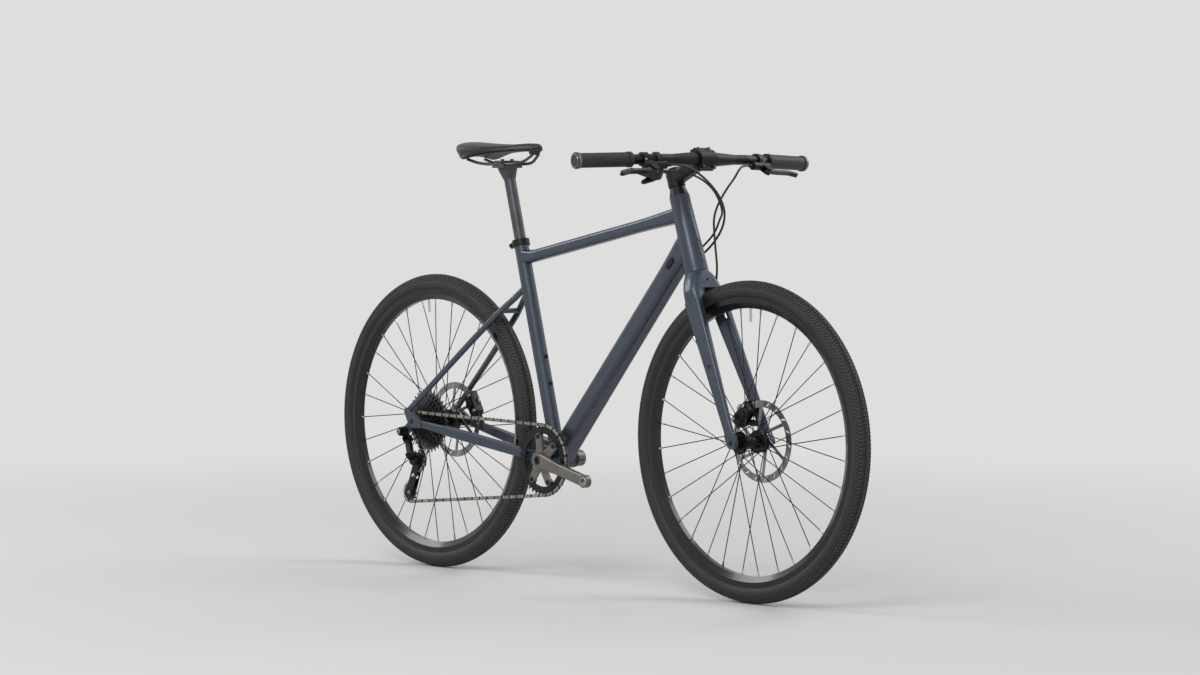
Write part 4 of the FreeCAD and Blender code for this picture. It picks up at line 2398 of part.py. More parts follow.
def rail(side):
    """One saddle rail: straight in the clamp, then bent up to the tail and in to the nose."""
    points = []
    for ahead, spread, rise in (
        (-D.rail_tail_reach, D.rail_tail_spread, D.rail_tail_rise),
        (-(D.rail_tail_reach + D.rail_straight) / 2, (D.rail_tail_spread + D.rail_spread) / 2, D.rail_radius),
        (-D.rail_straight, D.rail_spread, 0),
        (D.rail_straight, D.rail_spread, 0),
        ((D.rail_nose_reach + D.rail_straight) / 2, (D.rail_nose_spread + D.rail_spread) / 2, D.rail_radius),
        (D.rail_nose_reach, D.rail_nose_spread, D.rail_nose_rise),
    ):
        points.append(rail_middle + Vector(ahead, side * float(spread), rise))
    return cord("saddle_rail", points, D.rail_radius)


SADDLE_STATION_SHARES = (0, 0.05, 0.17, 0.33, 0.5, 0.66, 0.83, 0.96, 1)
SADDLE_WIDTH_SHARES = (0.45, 0.8, 1, 0.86, 0.5, 0.32, 0.27, 0.2, 0.1)
SADDLE_TOP_SHARES = (0.82, 0.96, 1, 0.945, 0.9, 0.89, 0.905, 0.86, 0.7)
SADDLE_LOW_SHARES = (0.45, 0.25, 0.12, 0.15, 0.28, 0.36, 0.41, 0.46, 0.54)
saddle_arch_share = 0.16
saddle_tail = rail_middle - X * float(D.saddle_back)


def saddle_sections():
    """The saddle's stations: place along X, half width, and heights of its edge and crown."""
    rows = eased(zip(SADDLE_STATION_SHARES, SADDLE_WIDTH_SHARES, SADDLE_TOP_SHARES, SADDLE_LOW_SHARES))
    rise = float(D.saddle_rise)
    for station, width, top, low in rows:
        x = saddle_tail.x + float(D.saddle_length) * station
        yield x, float(D.saddle_width) / 2 * width, rail_height + rise * low, rail_height + rise * top


def saddle_pad():
    """Crowned saddle pad: rounded sides and a domed top through its stations, hollowed underneath."""
    shoulder_share = 0.9
    shoulder_rise_share = 0.54
    crown_share = 0.62
    crown_rise_share = 0.86
    wires = []
    for x, half, low, top in saddle_sections():
        tall = top - low
        side = [(1, 0), (shoulder_share, shoulder_rise_share), (crown_share, crown_rise_share), (0, 1)]
        profile = side + [(-u, v) for u, v in side[-2::-1]]
        points = [Vector(x, half * u, low + tall * v) for u, v in profile]
        points += [Vector(x, 0, low + half * saddle_arch_share), points[0]]
        arcs = [Part.Arc(*points[first:first + 3]).toShape() for first in range(0, len(points) - 1, 2)]
        wires.append(Part.Wire(arcs))
    return lofted(wires)


def saddle_shell(pad):
    """Stiff arched shell under the pad."""
    width_share = 0.84
    thick = float(D.saddle_shell)
    wires = []
    for x, half, low, top in list(saddle_sections())[1:-1]:
        wide = half * width_share
        middle = low + half * saddle_arch_share
        edge = middle - half * saddle_arch_share * width_share * width_share
        corners = [Vector(x, y, edge + rise) for y, rise in
                   ((-wide, -thick), (wide, -thick), (wide, thick), (-wide, thick))]
        wires.append(Part.Wire([
            Part.Arc(corners[0], Vector(x, 0, middle - thick), corners[1]).toShape(),
            Part.LineSegment(corners[1], corners[2]).toShape(),
            Part.Arc(corners[2], Vector(x, 0, middle + thick), corners[3]).toShape(),
            Part.LineSegment(corners[3], corners[0]).toShape(),
        ]))
    return largest(lofted(wires).cut(pad))


def saddle():
    """Saddle rails, shell and pad."""
    rails = [rail(side) for side in SIDES.values()]
    several("saddle_rails", rails)
    pad = saddle_pad()
    shell = saddle_shell(pad)
    for bar in rails:
        shell = shell.cut(bar)
    feature("saddle_shell", largest(shell))
    return feature("saddle_pad", pad)


# Hoses and cable: routes are millimetres ahead, to the left and up in the steering frame

FRONT_HOSE_FROM_LEVER = (
    (0, 0, 0), (3.4, -21.7, -0.5), (9.3, -43.7, -12.4), (7.8, -61.7, -31.4),
    (-6.3, -74.7, -48.1), (-24.4, -84.7, -67.4), (-41, -89.7, -85.4),
)
FRONT_HOSE_TO_CROWN = (
    (40, -4, 132), (33.5, -4, 108), (28.4, -4.2, 84), (23.4, -3.6, 61), (17.8, -2.4, 38), (10, -1, 17), (0, 0, 0),
)
REAR_HOSE_FROM_LEVER = (
    (0, 0, 0), (3.4, 21.7, -0.5), (4, 47, -6), (3.5, 71, -17), (3, 93, -34), (2.5, 113, -55),
    (-1, 129, -78), (-11, 143, -100),
)
REAR_HOSE_TO_PORT = (
    (146, 10.5, 57), (123, 17.5, 41), (97, 20.5, 28), (71, 20.5, 17), (45, 18.5, 9), (20, 11.5, 3.5), (0, 0, 0),
)
SHIFT_CABLE_FROM_POD = (
    (0, 0, 0), (3.2, 21.4, -0.5), (8.5, 46, -4), (14.5, 70, -14), (20, 92, -30), (22, 110, -52),
    (18, 123, -76), (8, 134, -98),
)
SHIFT_CABLE_TO_PORT = (
    (122, 9.5, 56), (102, 14.5, 42), (80, 17, 31), (55, 16.5, 22), (33, 12.5, 13), (15, 6.5, 6), (0, 0, 0),
)


def steered(start, offsets):
    """Route points from their offsets in the steering frame."""
    turn = steering.Rotation
    return [start + turn.multVec(Vector(*offset)) for offset in offsets]


def fitting_end(side, inset, local):
    """End of a hose fitting on the handlebar."""
    return lever_place(side, inset).multVec(local)


def front_brake_hose(crown):
    """Hose from the left lever into the fork crown."""
    fitting = Vector(-D.cylinder_inboard - D.fitting_length, D.cylinder_reach, 0)
    start = fitting_end(LEFT, D.lever_clamp_inset, fitting)
    entry = steering.multVec(Vector(D.hose_entry_ahead, D.hose_entry_spread, -D.hose_entry_drop))
    points = steered(start, FRONT_HOSE_FROM_LEVER) + steered(entry, FRONT_HOSE_TO_CROWN)
    hose = cord("front_brake_hose", points, D.hose_radius)
    return feature("front_brake_hose", largest(hose.cut(crown)))


def port_entry(way):
    """Where a hose enters the left cable port's plug, ahead of or behind its middle."""
    inside = port_face - float(D.port_thickness)
    return port_place(LEFT, inside).multVec(Vector(way * float(D.port_height) / 2, 0, 0))


def rear_brake_hose(fittings):
    """Hose from the right lever round the head tube into the left cable port."""
    fitting = Vector(-D.cylinder_inboard - D.fitting_length - D.part_gap, D.cylinder_reach, 0)
    start = fitting_end(RIGHT, D.lever_clamp_inset, fitting)
    points = steered(start, REAR_HOSE_FROM_LEVER) + steered(port_entry(-1), REAR_HOSE_TO_PORT)
    hose = cord("rear_brake_hose", points, D.hose_radius)
    return feature("rear_brake_hose", largest(hose.cut(fittings)))


def shift_cable(fittings):
    """Cable housing from the shifter into the left cable port."""
    fitting = Vector(-D.pod_radius - D.fitting_length - D.part_gap, D.pod_ahead, -D.pod_drop)
    start = fitting_end(RIGHT, shifter_inset, fitting)
    points = steered(start, SHIFT_CABLE_FROM_POD) + steered(port_entry(1), SHIFT_CABLE_TO_PORT)
    cable = cord("shift_cable", points, D.cable_radius)
    return feature("shift_cable", largest(cable.cut(fittings)))


def build_frame():
    """Frame with what is fixed to it."""
    head_tube()
    headset_bearings()
    bottom_bracket_shell()
    bottom_bracket_cups()
    seat_tube()
    seat_clamp()
    top_tube()
    frame_fittings(down_tube())
    chainstays = rear_triangle()
    rear_thru_axle()
    rear_caliper(chainstays[LEFT])


def build_steering():
    """Fork, stem, handlebar and controls."""
    crown = fork_crown()
    leg = fork_legs()
    front_thru_axle()
    headset_cover()
    stem()
    stem_faceplate()
    handlebar()
    grips()
    brake_levers()
    shifter_body()
    shift_paddle("thumb_lever", 0, D.thumb_length, D.thumb_width, D.thumb_angle)
    shift_paddle("release_trigger", 1, D.trigger_length, D.trigger_width, D.trigger_angle)
    front_caliper(leg)
    front_brake_hose(crown.Shape)
    fittings = NODES["frame_fittings"].Shape
    rear_brake_hose(fittings)
    shift_cable(fittings)


def build_drivetrain():
    """Cranks, chainring, chain, cassette and derailleur."""
    crank_arm_right()
    crank_arm_left()
    chainring(roller_angle(bracket))
    chain()
    cassette()
    derailleur()


def check_and_export():
    """Stop on any failed object or shape, then write one file for each sub-part."""
    doc.recompute()
    for item in doc.Objects:
        if "Invalid" in item.State or "Error" in item.State:
            raise RuntimeError("object %s failed: %s" % (item.Name, item.State))
    for label, item in NODES.items():
        if item.Shape.isNull() or not item.Shape.isValid():
            raise RuntimeError("sub-part %s has no valid shape" % label)
    os.makedirs("parts", exist_ok=True)
    for label, item in NODES.items():
        item.Shape.exportStep("parts/%s.step" % label)
    print("sub-parts", len(NODES))


build_frame()
build_steering()
front_wheel()
rear_wheel()
build_drivetrain()
seatpost()
saddle()
check_and_export()
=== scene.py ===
"""Looks of a flat-bar hybrid bicycle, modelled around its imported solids.

Lengths are metres in the solids' own frame: +X forward, +Y to the rider's left, +Z up.
"""

import logging
import math
from contextlib import contextmanager
from dataclasses import dataclass
from enum import Enum
from typing import Callable, Iterator, Sequence

import bpy
from mathutils import Matrix, Vector


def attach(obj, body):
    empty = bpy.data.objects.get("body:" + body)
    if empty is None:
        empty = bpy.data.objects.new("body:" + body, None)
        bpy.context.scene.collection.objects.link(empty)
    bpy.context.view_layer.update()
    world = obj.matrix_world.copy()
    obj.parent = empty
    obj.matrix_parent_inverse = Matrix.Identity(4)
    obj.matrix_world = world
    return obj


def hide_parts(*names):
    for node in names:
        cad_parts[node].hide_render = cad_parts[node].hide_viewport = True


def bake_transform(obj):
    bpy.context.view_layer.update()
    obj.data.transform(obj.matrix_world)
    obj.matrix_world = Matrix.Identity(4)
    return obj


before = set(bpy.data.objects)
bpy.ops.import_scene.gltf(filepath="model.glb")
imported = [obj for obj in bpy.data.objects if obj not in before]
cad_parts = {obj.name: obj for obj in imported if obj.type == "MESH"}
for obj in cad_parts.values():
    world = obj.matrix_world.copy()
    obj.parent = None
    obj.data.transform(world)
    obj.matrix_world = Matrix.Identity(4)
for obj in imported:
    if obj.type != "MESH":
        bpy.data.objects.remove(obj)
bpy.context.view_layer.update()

LOG = logging.getLogger("bicycle")
MM = 0.001
FRONT_AXLE = Vector((0.534, 0.0, 0.351))
REAR_AXLE = Vector((-0.534, 0.0, 0.351))
BRACKET = Vector((-0.09454, 0.0, 0.281))
GUIDE_PULLEY = Vector((-0.526, -0.0645, 0.259))
TENSION_PULLEY = Vector((-0.556592, -0.0645, 0.180769))

AHEAD = Vector((1, 0, 0))
LEFT = Vector((0, 1, 0))
RIGHT = Vector((0, -1, 0))
DOWN = Vector((0, 0, -1))
# How much of a face's normal lies along a direction that the face looks in.
FACING = 0.9
# Points nearer than this are one point.
MERGE = 0.01 * MM
# Edges flatter than this are shaded smooth, in degrees: on machined pieces, and on soft ones.
CRISP, SOFT = 35.0, 60.0

# Attribute of the tyres that marks the tops of the tread blocks, which a painted highlight lightens, and its
# share in their relief.
TOP_HIGHLIGHT = "top_highlight"
TOP_HIGHLIGHT_SHARE = 0.6
# Length after which a wave texture repeats at a scale of 1.
WAVE_LENGTH = math.pi / 10
# Size of the patches in which a colour drifts, and the noise values between which it does.
DRIFT_SIZE = 40 * MM
DRIFT_EDGES = (0.35, 0.65)
# Heights of the grain between which flecks show: flakes, grind marks, and spots painted lighter as glints and
# highlights.
FLECK_EDGES = (0.4, 0.8)
COAT_ROUGHNESS = 0.12
BUMP_STRENGTH = 0.6

Point = tuple[float, float, float]
Table = tuple[tuple[float, float], ...]
Test = Callable[[Vector, Vector], bool]


class Pattern(Enum):
    """How a surface was made, which gives its relief."""

    FLAKE = "metal flake under lacquer"
    BLAST = "bead blasted"
    RINGS = "turned in rings"
    MOULD = "moulded"
    GRAIN = "embossed grain"
    KNURL = "crossed ribs"
    # The tops of the tread blocks get a painted highlight.
    TREAD = "moulded, with worn tread blocks"


class Body(Enum):
    """The moving bodies that new pieces ride on."""

    FRAME = "frame"
    STEERING = "steering"
    FRONT_WHEEL = "front_wheel"
    REAR_WHEEL = "rear_wheel"
    CRANK = "crank"
    SADDLE = "saddle"
    KNUCKLE = "knuckle"
    CAGE = "cage"


class Slot(Enum):
    """Names of material slots."""

    BLACK_ALUMINIUM = "black_aluminium"
    GREY_ALUMINIUM = "grey_aluminium"
    BRIGHT_STEEL = "bright_steel"
    DARK_STEEL = "dark_steel"
    BLACK_PLASTIC = "black_plastic"
    BLACK_RUBBER = "black_rubber"
    TYRE_RUBBER = "tyre_rubber"
    SADDLE_COVER = "saddle_cover"


def linear(code: str) -> tuple[float, float, float, float]:
    """Turn an sRGB hex colour into linear red, green, blue and alpha.

    Args:
        code: Six hex digits after a hash sign.

    Returns:
        The colour for a shader socket.
    """
    parts = [int(code[i:i + 2], 16) / 255 for i in (1, 3, 5)]
    red, green, blue = (c / 12.92 if c <= 0.04045 else ((c + 0.055) / 1.055) ** 2.4 for c in parts)
    return red, green, blue, 1.0


def set_inputs(tree: bpy.types.NodeTree, node: bpy.types.Node, inputs: dict) -> None:
    """Give input sockets of a node their values and links.

    Args:
        tree: The node tree.
        node: The node.
        inputs: Input socket, by name or number, to a value or an output socket.
    """
    for key, value in inputs.items():
        if isinstance(value, bpy.types.NodeSocket):
            tree.links.new(value, node.inputs[key])
        else:
            node.inputs[key].default_value = value


def add_node(tree: bpy.types.NodeTree, kind: str, inputs: dict | None = None, **settings) -> bpy.types.Node:
    """Add a shader node with its settings and links.

    Args:
        tree: The node tree.
        kind: Blender's name of the node, without its prefix.
        inputs: Input socket, by name or number, to a value or an output socket.
        **settings: Properties of the node.

    Returns:
        The new node.
    """
    node = tree.nodes.new("ShaderNode" + kind)
    for key, value in settings.items():
        setattr(node, key, value)
    set_inputs(tree, node, inputs or {})
    return node


@dataclass(frozen=True)
class Finish:
    """A material by what it is made of, and how its surface was made.

    Attributes:
        name: The real material.
        colour: Its colour, sRGB.
        shade: The colour that it drifts to, sRGB.
        roughness: The least and the most roughness.
        metallic: 1 for bare metal.
        pattern: How the surface was made.
        grain: Size of its grain, in millimetres.
        relief: Depth of its grain, in millimetres.
        coat: Share of clear lacquer.
        sheen: Share of soft sheen at grazing angles.
        fleck: The colour of its flakes and grind marks, and of the spots painted lighter as glints and
            highlights, sRGB.
        fleck_share: How much of that colour shows.
        centre: Middle of turned rings.
    """

    name: str
    colour: str
    shade: str
    roughness: tuple[float, float]
    metallic: float
    pattern: Pattern
    grain: float
    relief: float
    coat: float = 0.0
    sheen: float = 0.0
    fleck: str = "#000000"
    fleck_share: float = 0.0
    centre: Point = (0.0, 0.0, 0.0)

    def material(self) -> bpy.types.Material:
        """Build the material's nodes, or find them if they are built.

        Returns:
            The material.
        """
        found = bpy.data.materials.get(self.name)
        if found:
            return found
        made = bpy.data.materials.new(self.name)
        made.use_nodes = True
        tree = made.node_tree
        place = add_node(tree, "TexCoord").outputs["Object"]
        offset = tuple(-c for c in self.centre)
        place = add_node(tree, "Mapping", {"Vector": place, "Location": offset}).outputs["Vector"]
        height = self.grain_height(tree, place)
        low, high = self.roughness
        rough = add_node(tree, "MapRange", {"Value": height, "To Min": low, "To Max": high})
        bump = add_node(tree, "Bump", {"Strength": BUMP_STRENGTH, "Distance": self.relief * MM,
                                       "Height": height})
        set_inputs(tree, tree.nodes["Principled BSDF"], {
            "Base Color": self.drifting_colour(tree, place, height), "Metallic": self.metallic,
            "Roughness": rough.outputs["Result"], "Normal": bump.outputs["Normal"],
            "Coat Weight": self.coat, "Coat Roughness": COAT_ROUGHNESS, "Sheen Weight": self.sheen})
        return made

    def drifting_colour(self, tree: bpy.types.NodeTree, place: bpy.types.NodeSocket,
                        height: bpy.types.NodeSocket) -> bpy.types.NodeSocket:
        """Add the nodes of the colour, which drifts a little and has flecks where the grain is high.

        Args:
            tree: The material's node tree.
            place: The coordinates to draw it on.
            height: Height of the grain.

        Returns:
            The colour.
        """
        drift = add_node(tree, "TexNoise", {"Vector": place, "Scale": 1 / DRIFT_SIZE, "Detail": 3.0})
        ramp = add_node(tree, "ValToRGB", {"Fac": drift.outputs["Fac"]})
        for stop, edge, code in zip(ramp.color_ramp.elements, DRIFT_EDGES, (self.shade, self.colour)):
            stop.position, stop.color = edge, linear(code)
        low, high = FLECK_EDGES
        flecks = add_node(tree, "MapRange", {"Value": height, "From Min": low, "From Max": high,
                                             "To Min": 0.0, "To Max": self.fleck_share})
        return add_node(tree, "Mix", {0: flecks.outputs["Result"], 6: ramp.outputs["Color"],
                                      7: linear(self.fleck)}, data_type="RGBA").outputs[2]

    def grain_height(self, tree: bpy.types.NodeTree, place: bpy.types.NodeSocket) -> bpy.types.NodeSocket:
        """Add the nodes of the grain.

        Args:
            tree: The material's node tree.
            place: The coordinates to draw it on.

        Returns:
            Its height, from 0 to 1.
        """
        cells = {"Vector": place, "Scale": 1 / (self.grain * MM)}
        wave = {"Vector": place, "Scale": WAVE_LENGTH / (self.grain * MM)}
        if self.pattern is Pattern.FLAKE:
            flakes = add_node(tree, "TexVoronoi", cells).outputs["Color"]
            return add_node(tree, "SeparateColor", {"Color": flakes}).outputs["Red"]
        if self.pattern is Pattern.GRAIN:
            return add_node(tree, "TexVoronoi", cells).outputs["Distance"]
        if self.pattern is Pattern.RINGS:
            return add_node(tree, "TexWave", wave | {"Distortion": 0.4, "Detail": 1.0},
                            wave_type="RINGS", rings_direction="Y").outputs["Fac"]
        if self.pattern is Pattern.KNURL:
            ribs = [add_node(tree, "TexWave", wave, bands_direction=way).outputs["Fac"]
                    for way in ("DIAGONAL", "Y")]
            return add_node(tree, "Math", dict(enumerate(ribs)), operation="MULTIPLY").outputs[0]
        detail = 2.0 if self.pattern is Pattern.BLAST else 4.0
        noise = add_node(tree, "TexNoise", cells | {"Detail": detail}).outputs["Fac"]
        if self.pattern is Pattern.TREAD:
            # Block tops are raised in the grain, which paints them lighter as a painted highlight.
            top_highlight = add_node(tree, "Attribute", attribute_name=TOP_HIGHLIGHT).outputs["Fac"]
            return add_node(tree, "Mix", {0: TOP_HIGHLIGHT_SHARE, 2: noise, 3: top_highlight}).outputs[0]
        return noise


# Real flakes, blasting, grinding and mould textures are finer than 0.5 mm and wouldn't show in the render, so
# their grain is drawn as coarse as 0.6 to 1.6 mm.

# Satin lacquer with metal flake over aluminium: a slate that lightens to grey where light grazes it.
FRAME_PAINT = Finish("satin_metallic_lacquer", "#3a424f", "#343c48", (0.32, 0.44), 0.6, Pattern.FLAKE,
                     0.9, 0.006, coat=0.25, fleck="#565f6e", fleck_share=0.5)
# Black anodised aluminium: near black, with lighter flecks painted in as a fine dry sparkle.
BLACK_METAL = Finish("black_anodised_aluminium", "#1b1c1e", "#151618", (0.34, 0.48), 0.6, Pattern.BLAST,
                     0.8, 0.02, fleck="#2c2d30", fleck_share=0.4)
# Polished and anodised aluminium of the rims and the brake levers: black with a clear shine.
POLISHED_METAL = Finish("polished_black_aluminium", "#1f2022", "#191a1c", (0.2, 0.3), 0.7, Pattern.BLAST,
                        0.9, 0.004, coat=0.4)
# Forged and anodised aluminium of the cranks: a warm grey.
GREY_METAL = Finish("grey_anodised_aluminium", "#736f6c", "#676461", (0.32, 0.44), 0.8, Pattern.BLAST,
                    0.9, 0.02, fleck="#858280", fleck_share=0.4)
# Drawn aluminium of the seatpost: a satin dark grey.
POST_METAL = Finish("satin_drawn_aluminium", "#505256", "#46484c", (0.34, 0.44), 0.7, Pattern.BLAST,
                    0.7, 0.01)
# Oiled steel of the sprockets: dark, with bright spots painted in as glints.
COG_STEEL = Finish("oiled_steel", "#55565a", "#2d2e30", (0.28, 0.46), 0.9, Pattern.BLAST, 1.5, 0.02,
                   fleck="#8c8d90", fleck_share=0.5)
# Nickel plated plates of the chain, and the darker plates and rollers between them.
CHAIN_NICKEL = Finish("nickel_plated_steel", "#a09d97", "#7d7a75", (0.26, 0.4), 1.0, Pattern.BLAST, 1.2, 0.01)
CHAIN_DARK = Finish("oiled_chain_steel", "#4b4a49", "#343332", (0.3, 0.46), 0.95, Pattern.BLAST, 1.2, 0.01)
# Black oxide steel of the spokes: dark, with a thin bright line of light.
SPOKE_STEEL = Finish("black_oxide_steel", "#232426", "#1a1b1d", (0.28, 0.4), 0.8, Pattern.BLAST, 1.0, 0.01)
# Nickel plated brass of the nipples: small bright points.
NIPPLE_METAL = Finish("nickel_plated_brass", "#c9c9c6", "#b5b5b2", (0.22, 0.3), 1.0, Pattern.BLAST, 0.6, 0.01)
# Plain steel of bolts and thread inserts, turned bright.
BOLT_STEEL = Finish("turned_steel", "#b9b9b7", "#9d9d9b", (0.24, 0.34), 1.0, Pattern.BLAST, 0.7, 0.01)
# Glass filled nylon, moulded with a fine matte texture.
BLACK_PLASTIC = Finish("moulded_nylon", "#18191b", "#131415", (0.45, 0.6), 0.0, Pattern.MOULD, 0.9, 0.03)
# Soft rubber of the grips, with fine crossed ribs.
GRIP_RUBBER = Finish("ribbed_rubber", "#1d1d1e", "#181819", (0.5, 0.72), 0.0, Pattern.KNURL, 2.6, 0.25)
# Tyre rubber: matte, with a painted highlight that lightens the tops of the tread blocks to grey.
TYRE_RUBBER = Finish("vulcanised_rubber", "#1b1b1c", "#151516", (0.55, 0.75), 0.0, Pattern.TREAD, 1.4, 0.05,
                     fleck="#3b3a38", fleck_share=0.9)
# Polyurethane skin of the hoses: smooth, with a soft shine.
HOSE_SKIN = Finish("extruded_polyurethane", "#161617", "#111112", (0.34, 0.44), 0.0, Pattern.MOULD, 0.8, 0.01)
# Synthetic leather of the saddle, and the flat black tape along its seams.
SADDLE_SKIN = Finish("synthetic_leather", "#1c1c1d", "#161617", (0.42, 0.62), 0.0, Pattern.GRAIN, 1.3, 0.06,
                     sheen=0.1)
SEAM_TAPE = Finish("seam_tape", "#101011", "#0d0d0e", (0.55, 0.7), 0.0, Pattern.MOULD, 0.6, 0.02)


def ground_steel(name: str, axle: Vector) -> Finish:
    """Stainless steel of one rotor, ground in rings about its axle."""
    return Finish("ground_stainless_steel_" + name, "#96989a", "#7a7d80", (0.24, 0.42), 1.0, Pattern.RINGS,
                  1.6, 0.03, fleck="#66696c", fleck_share=0.35, centre=tuple(axle))


NODE_FINISHES: dict[Finish, tuple[str, ...]] = {
    FRAME_PAINT: ("head_tube", "bottom_bracket_shell", "seat_tube", "top_tube", "down_tube", "chainstays",
                  "seatstays", "dropouts", "fork_crown", "fork_legs"),
    BLACK_METAL: ("headset_cover", "stem", "stem_faceplate", "handlebar", "seat_clamp", "brake_lever_bodies",
                  "front_hub", "rear_hub", "rear_caliper", "front_caliper", "front_thru_axle",
                  "rear_thru_axle", "bottom_bracket_cups", "derailleur_body", "derailleur_outer_link",
                  "derailleur_inner_link", "derailleur_knuckle", "derailleur_cage", "headset_bearings",
                  "frame_fittings", "chainring"),
    POLISHED_METAL: ("brake_lever_right", "brake_lever_left", "front_rim", "rear_rim"),
    GREY_METAL: ("crank_arm_right", "crank_arm_left"),
    POST_METAL: ("seatpost",),
    COG_STEEL: ("chain", "cassette", "saddle_rails"),
    SPOKE_STEEL: ("front_spokes", "rear_spokes"),
    ground_steel("front", FRONT_AXLE): ("front_rotor",),
    ground_steel("rear", REAR_AXLE): ("rear_rotor",),
    NIPPLE_METAL: ("front_nipples", "rear_nipples"),
    BLACK_PLASTIC: ("shifter_body", "thumb_lever", "release_trigger", "guide_pulley", "tension_pulley",
                    "saddle_shell"),
    GRIP_RUBBER: ("grips",),
    HOSE_SKIN: ("front_brake_hose", "rear_brake_hose", "shift_cable"),
    TYRE_RUBBER: ("front_tyre", "rear_tyre"),
    SADDLE_SKIN: ("saddle_pad",),
}


def paint_nodes() -> None:
    """Give every CAD node the finish of its real material."""
    for finish, names in NODE_FINISHES.items():
        for name in names:
            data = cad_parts[name].data
            data.materials.clear()
            data.materials.append(finish.material())


def fresh() -> None:
    """Leave edit mode with nothing selected."""
    if bpy.context.object and bpy.context.object.mode != "OBJECT":
        bpy.ops.object.mode_set(mode="OBJECT")
    bpy.ops.object.select_all(action="DESELECT")


def pick(piece: bpy.types.Object) -> None:
    """Select one object alone and make it active.

    Args:
        piece: The object.
    """
    fresh()
    piece.hide_set(False)
    piece.select_set(True)
    bpy.context.view_layer.objects.active = piece


@contextmanager
def editing(piece: bpy.types.Object, chosen: Test | None = None, points: bool = False) -> Iterator[None]:
    """Edit a mesh with some of it selected, and leave edit mode at the end.

    Args:
        piece: The object to edit.
        chosen: Says from the place and normal of a face whether it is selected; all are without it.
        points: Whether points are selected in place of faces.

    Yields:
        Nothing.
    """
    pick(piece)
    bpy.ops.object.mode_set(mode="EDIT")
    bpy.ops.mesh.select_mode(type="VERT" if points else "FACE")
    bpy.ops.mesh.select_all(action="DESELECT" if chosen else "SELECT")
    if chosen:
        bpy.ops.object.mode_set(mode="OBJECT")
        for part in piece.data.vertices if points else piece.data.polygons:
            part.select = bool(chosen(part.co if points else part.center, part.normal))
        bpy.ops.object.mode_set(mode="EDIT")
    yield
    bpy.ops.object.mode_set(mode="OBJECT")


def looking(way: Vector, both: bool = False) -> Test:
    """A test for the faces that look one way, or both ways, along a direction.

    Args:
        way: The direction.
        both: Whether faces that look the opposite way count too.

    Returns:
        The test.
    """
    def test(middle: Vector, normal: Vector) -> bool:
        """Whether a face looks that way."""
        along = normal.dot(way)
        return (abs(along) if both else along) > FACING

    return test


def freeze(piece: bpy.types.Object) -> None:
    """Put the object's place, turn and scale into its mesh."""
    pick(piece)
    bpy.ops.object.transform_apply(location=True, rotation=True, scale=True)


def face_outwards(piece: bpy.types.Object) -> None:
    """Merge doubled points and turn every face outwards.

    Args:
        piece: The object.
    """
    with editing(piece):
        bpy.ops.mesh.remove_doubles(threshold=MERGE)
        bpy.ops.mesh.normals_make_consistent(inside=False)


def settle(piece: bpy.types.Object, name: str, finish: Finish, body: Body | None,
           smooth_angle: float = CRISP) -> bpy.types.Object:
    """Finish a piece: its name, shading, material and body.

    Args:
        piece: The modelled object.
        name: Its name.
        finish: Its material.
        body: The body it rides on, or None, which puts it on no body here.
        smooth_angle: Edges flatter than this are shaded smooth, in degrees.

    Returns:
        The piece.
    """
    freeze(piece)
    bpy.ops.object.shade_smooth_by_angle(angle=math.radians(smooth_angle))
    piece.name = name
    piece.data.name = name
    piece.data.materials.clear()
    piece.data.materials.append(finish.material())
    if body:
        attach(piece, body.value)
    LOG.info("%s: %d faces", name, len(piece.data.polygons))
    return piece


def own_copy(piece: bpy.types.Object) -> bpy.types.Object:
    """Copy an object with a mesh of its own.

    Args:
        piece: The object.

    Returns:
        The copy.
    """
    copy = piece.copy()
    copy.data = piece.data.copy()
    bpy.context.collection.objects.link(copy)
    return copy


def joined(pieces: Sequence[bpy.types.Object]) -> bpy.types.Object:
    """Join objects into the first of them.

    Args:
        pieces: The objects.

    Returns:
        The first object, with all their meshes.
    """
    pick(pieces[0])
    for piece in pieces:
        piece.select_set(True)
    bpy.ops.object.join()
    return bpy.context.object


def copies_joined(model: bpy.types.Object, places: Sequence[Matrix]) -> bpy.types.Object:
    """Copy a model to each place and join the copies.

    Args:
        model: The model, which is used up.
        places: Where each copy goes.

    Returns:
        One object with every copy.
    """
    made = []
    for place in places:
        copy = own_copy(model)
        copy.matrix_world = place @ model.matrix_world
        made.append(copy)
    bpy.data.objects.remove(model)
    return joined(made)


def cylinder(radius: float, length: float, sides: int,
             middle: Sequence[float] = (0, 0, 0)) -> bpy.types.Object:
    """Start a turned piece as a cylinder along Y.

    Args:
        radius: Its radius.
        length: Its length.
        sides: How many sides it has.
        middle: Its middle.

    Returns:
        The cylinder.
    """
    fresh()
    bpy.ops.mesh.primitive_cylinder_add(vertices=sides, radius=radius, depth=length, location=middle,
                                        rotation=(math.pi / 2, 0, 0))
    freeze(bpy.context.object)
    return bpy.context.object


def block(size: Point, middle: Point) -> bpy.types.Object:
    """Start a moulded piece as a block.

    Args:
        size: Its lengths along X, Y and Z.
        middle: Its middle.

    Returns:
        The block.
    """
    fresh()
    bpy.ops.mesh.primitive_cube_add(size=1, location=middle, scale=size)
    freeze(bpy.context.object)
    return bpy.context.object


def step_in(steps: Sequence[tuple[float, float]]) -> None:
    """Inset the selected faces step by step, each by a width and a rise."""
    for width, rise in steps:
        bpy.ops.mesh.inset(thickness=width, depth=rise)


def barrel(radius: float, half: float, bevel: float, sides: int) -> bpy.types.Object:
    """Model a barrel along Y with broken edges.

    Args:
        radius: Its radius.
        half: Half of its length, without the broken edges.
        bevel: Width of the broken edges.
        sides: How many sides it has.

    Returns:
        The barrel, with its middle at the origin.
    """
    piece = cylinder(radius, 2 * half, sides)
    with editing(piece, looking(LEFT, both=True)):
        bpy.ops.mesh.inset(thickness=bevel)
        bpy.ops.transform.resize(value=(1, 1 + bevel / half, 1))
    return piece


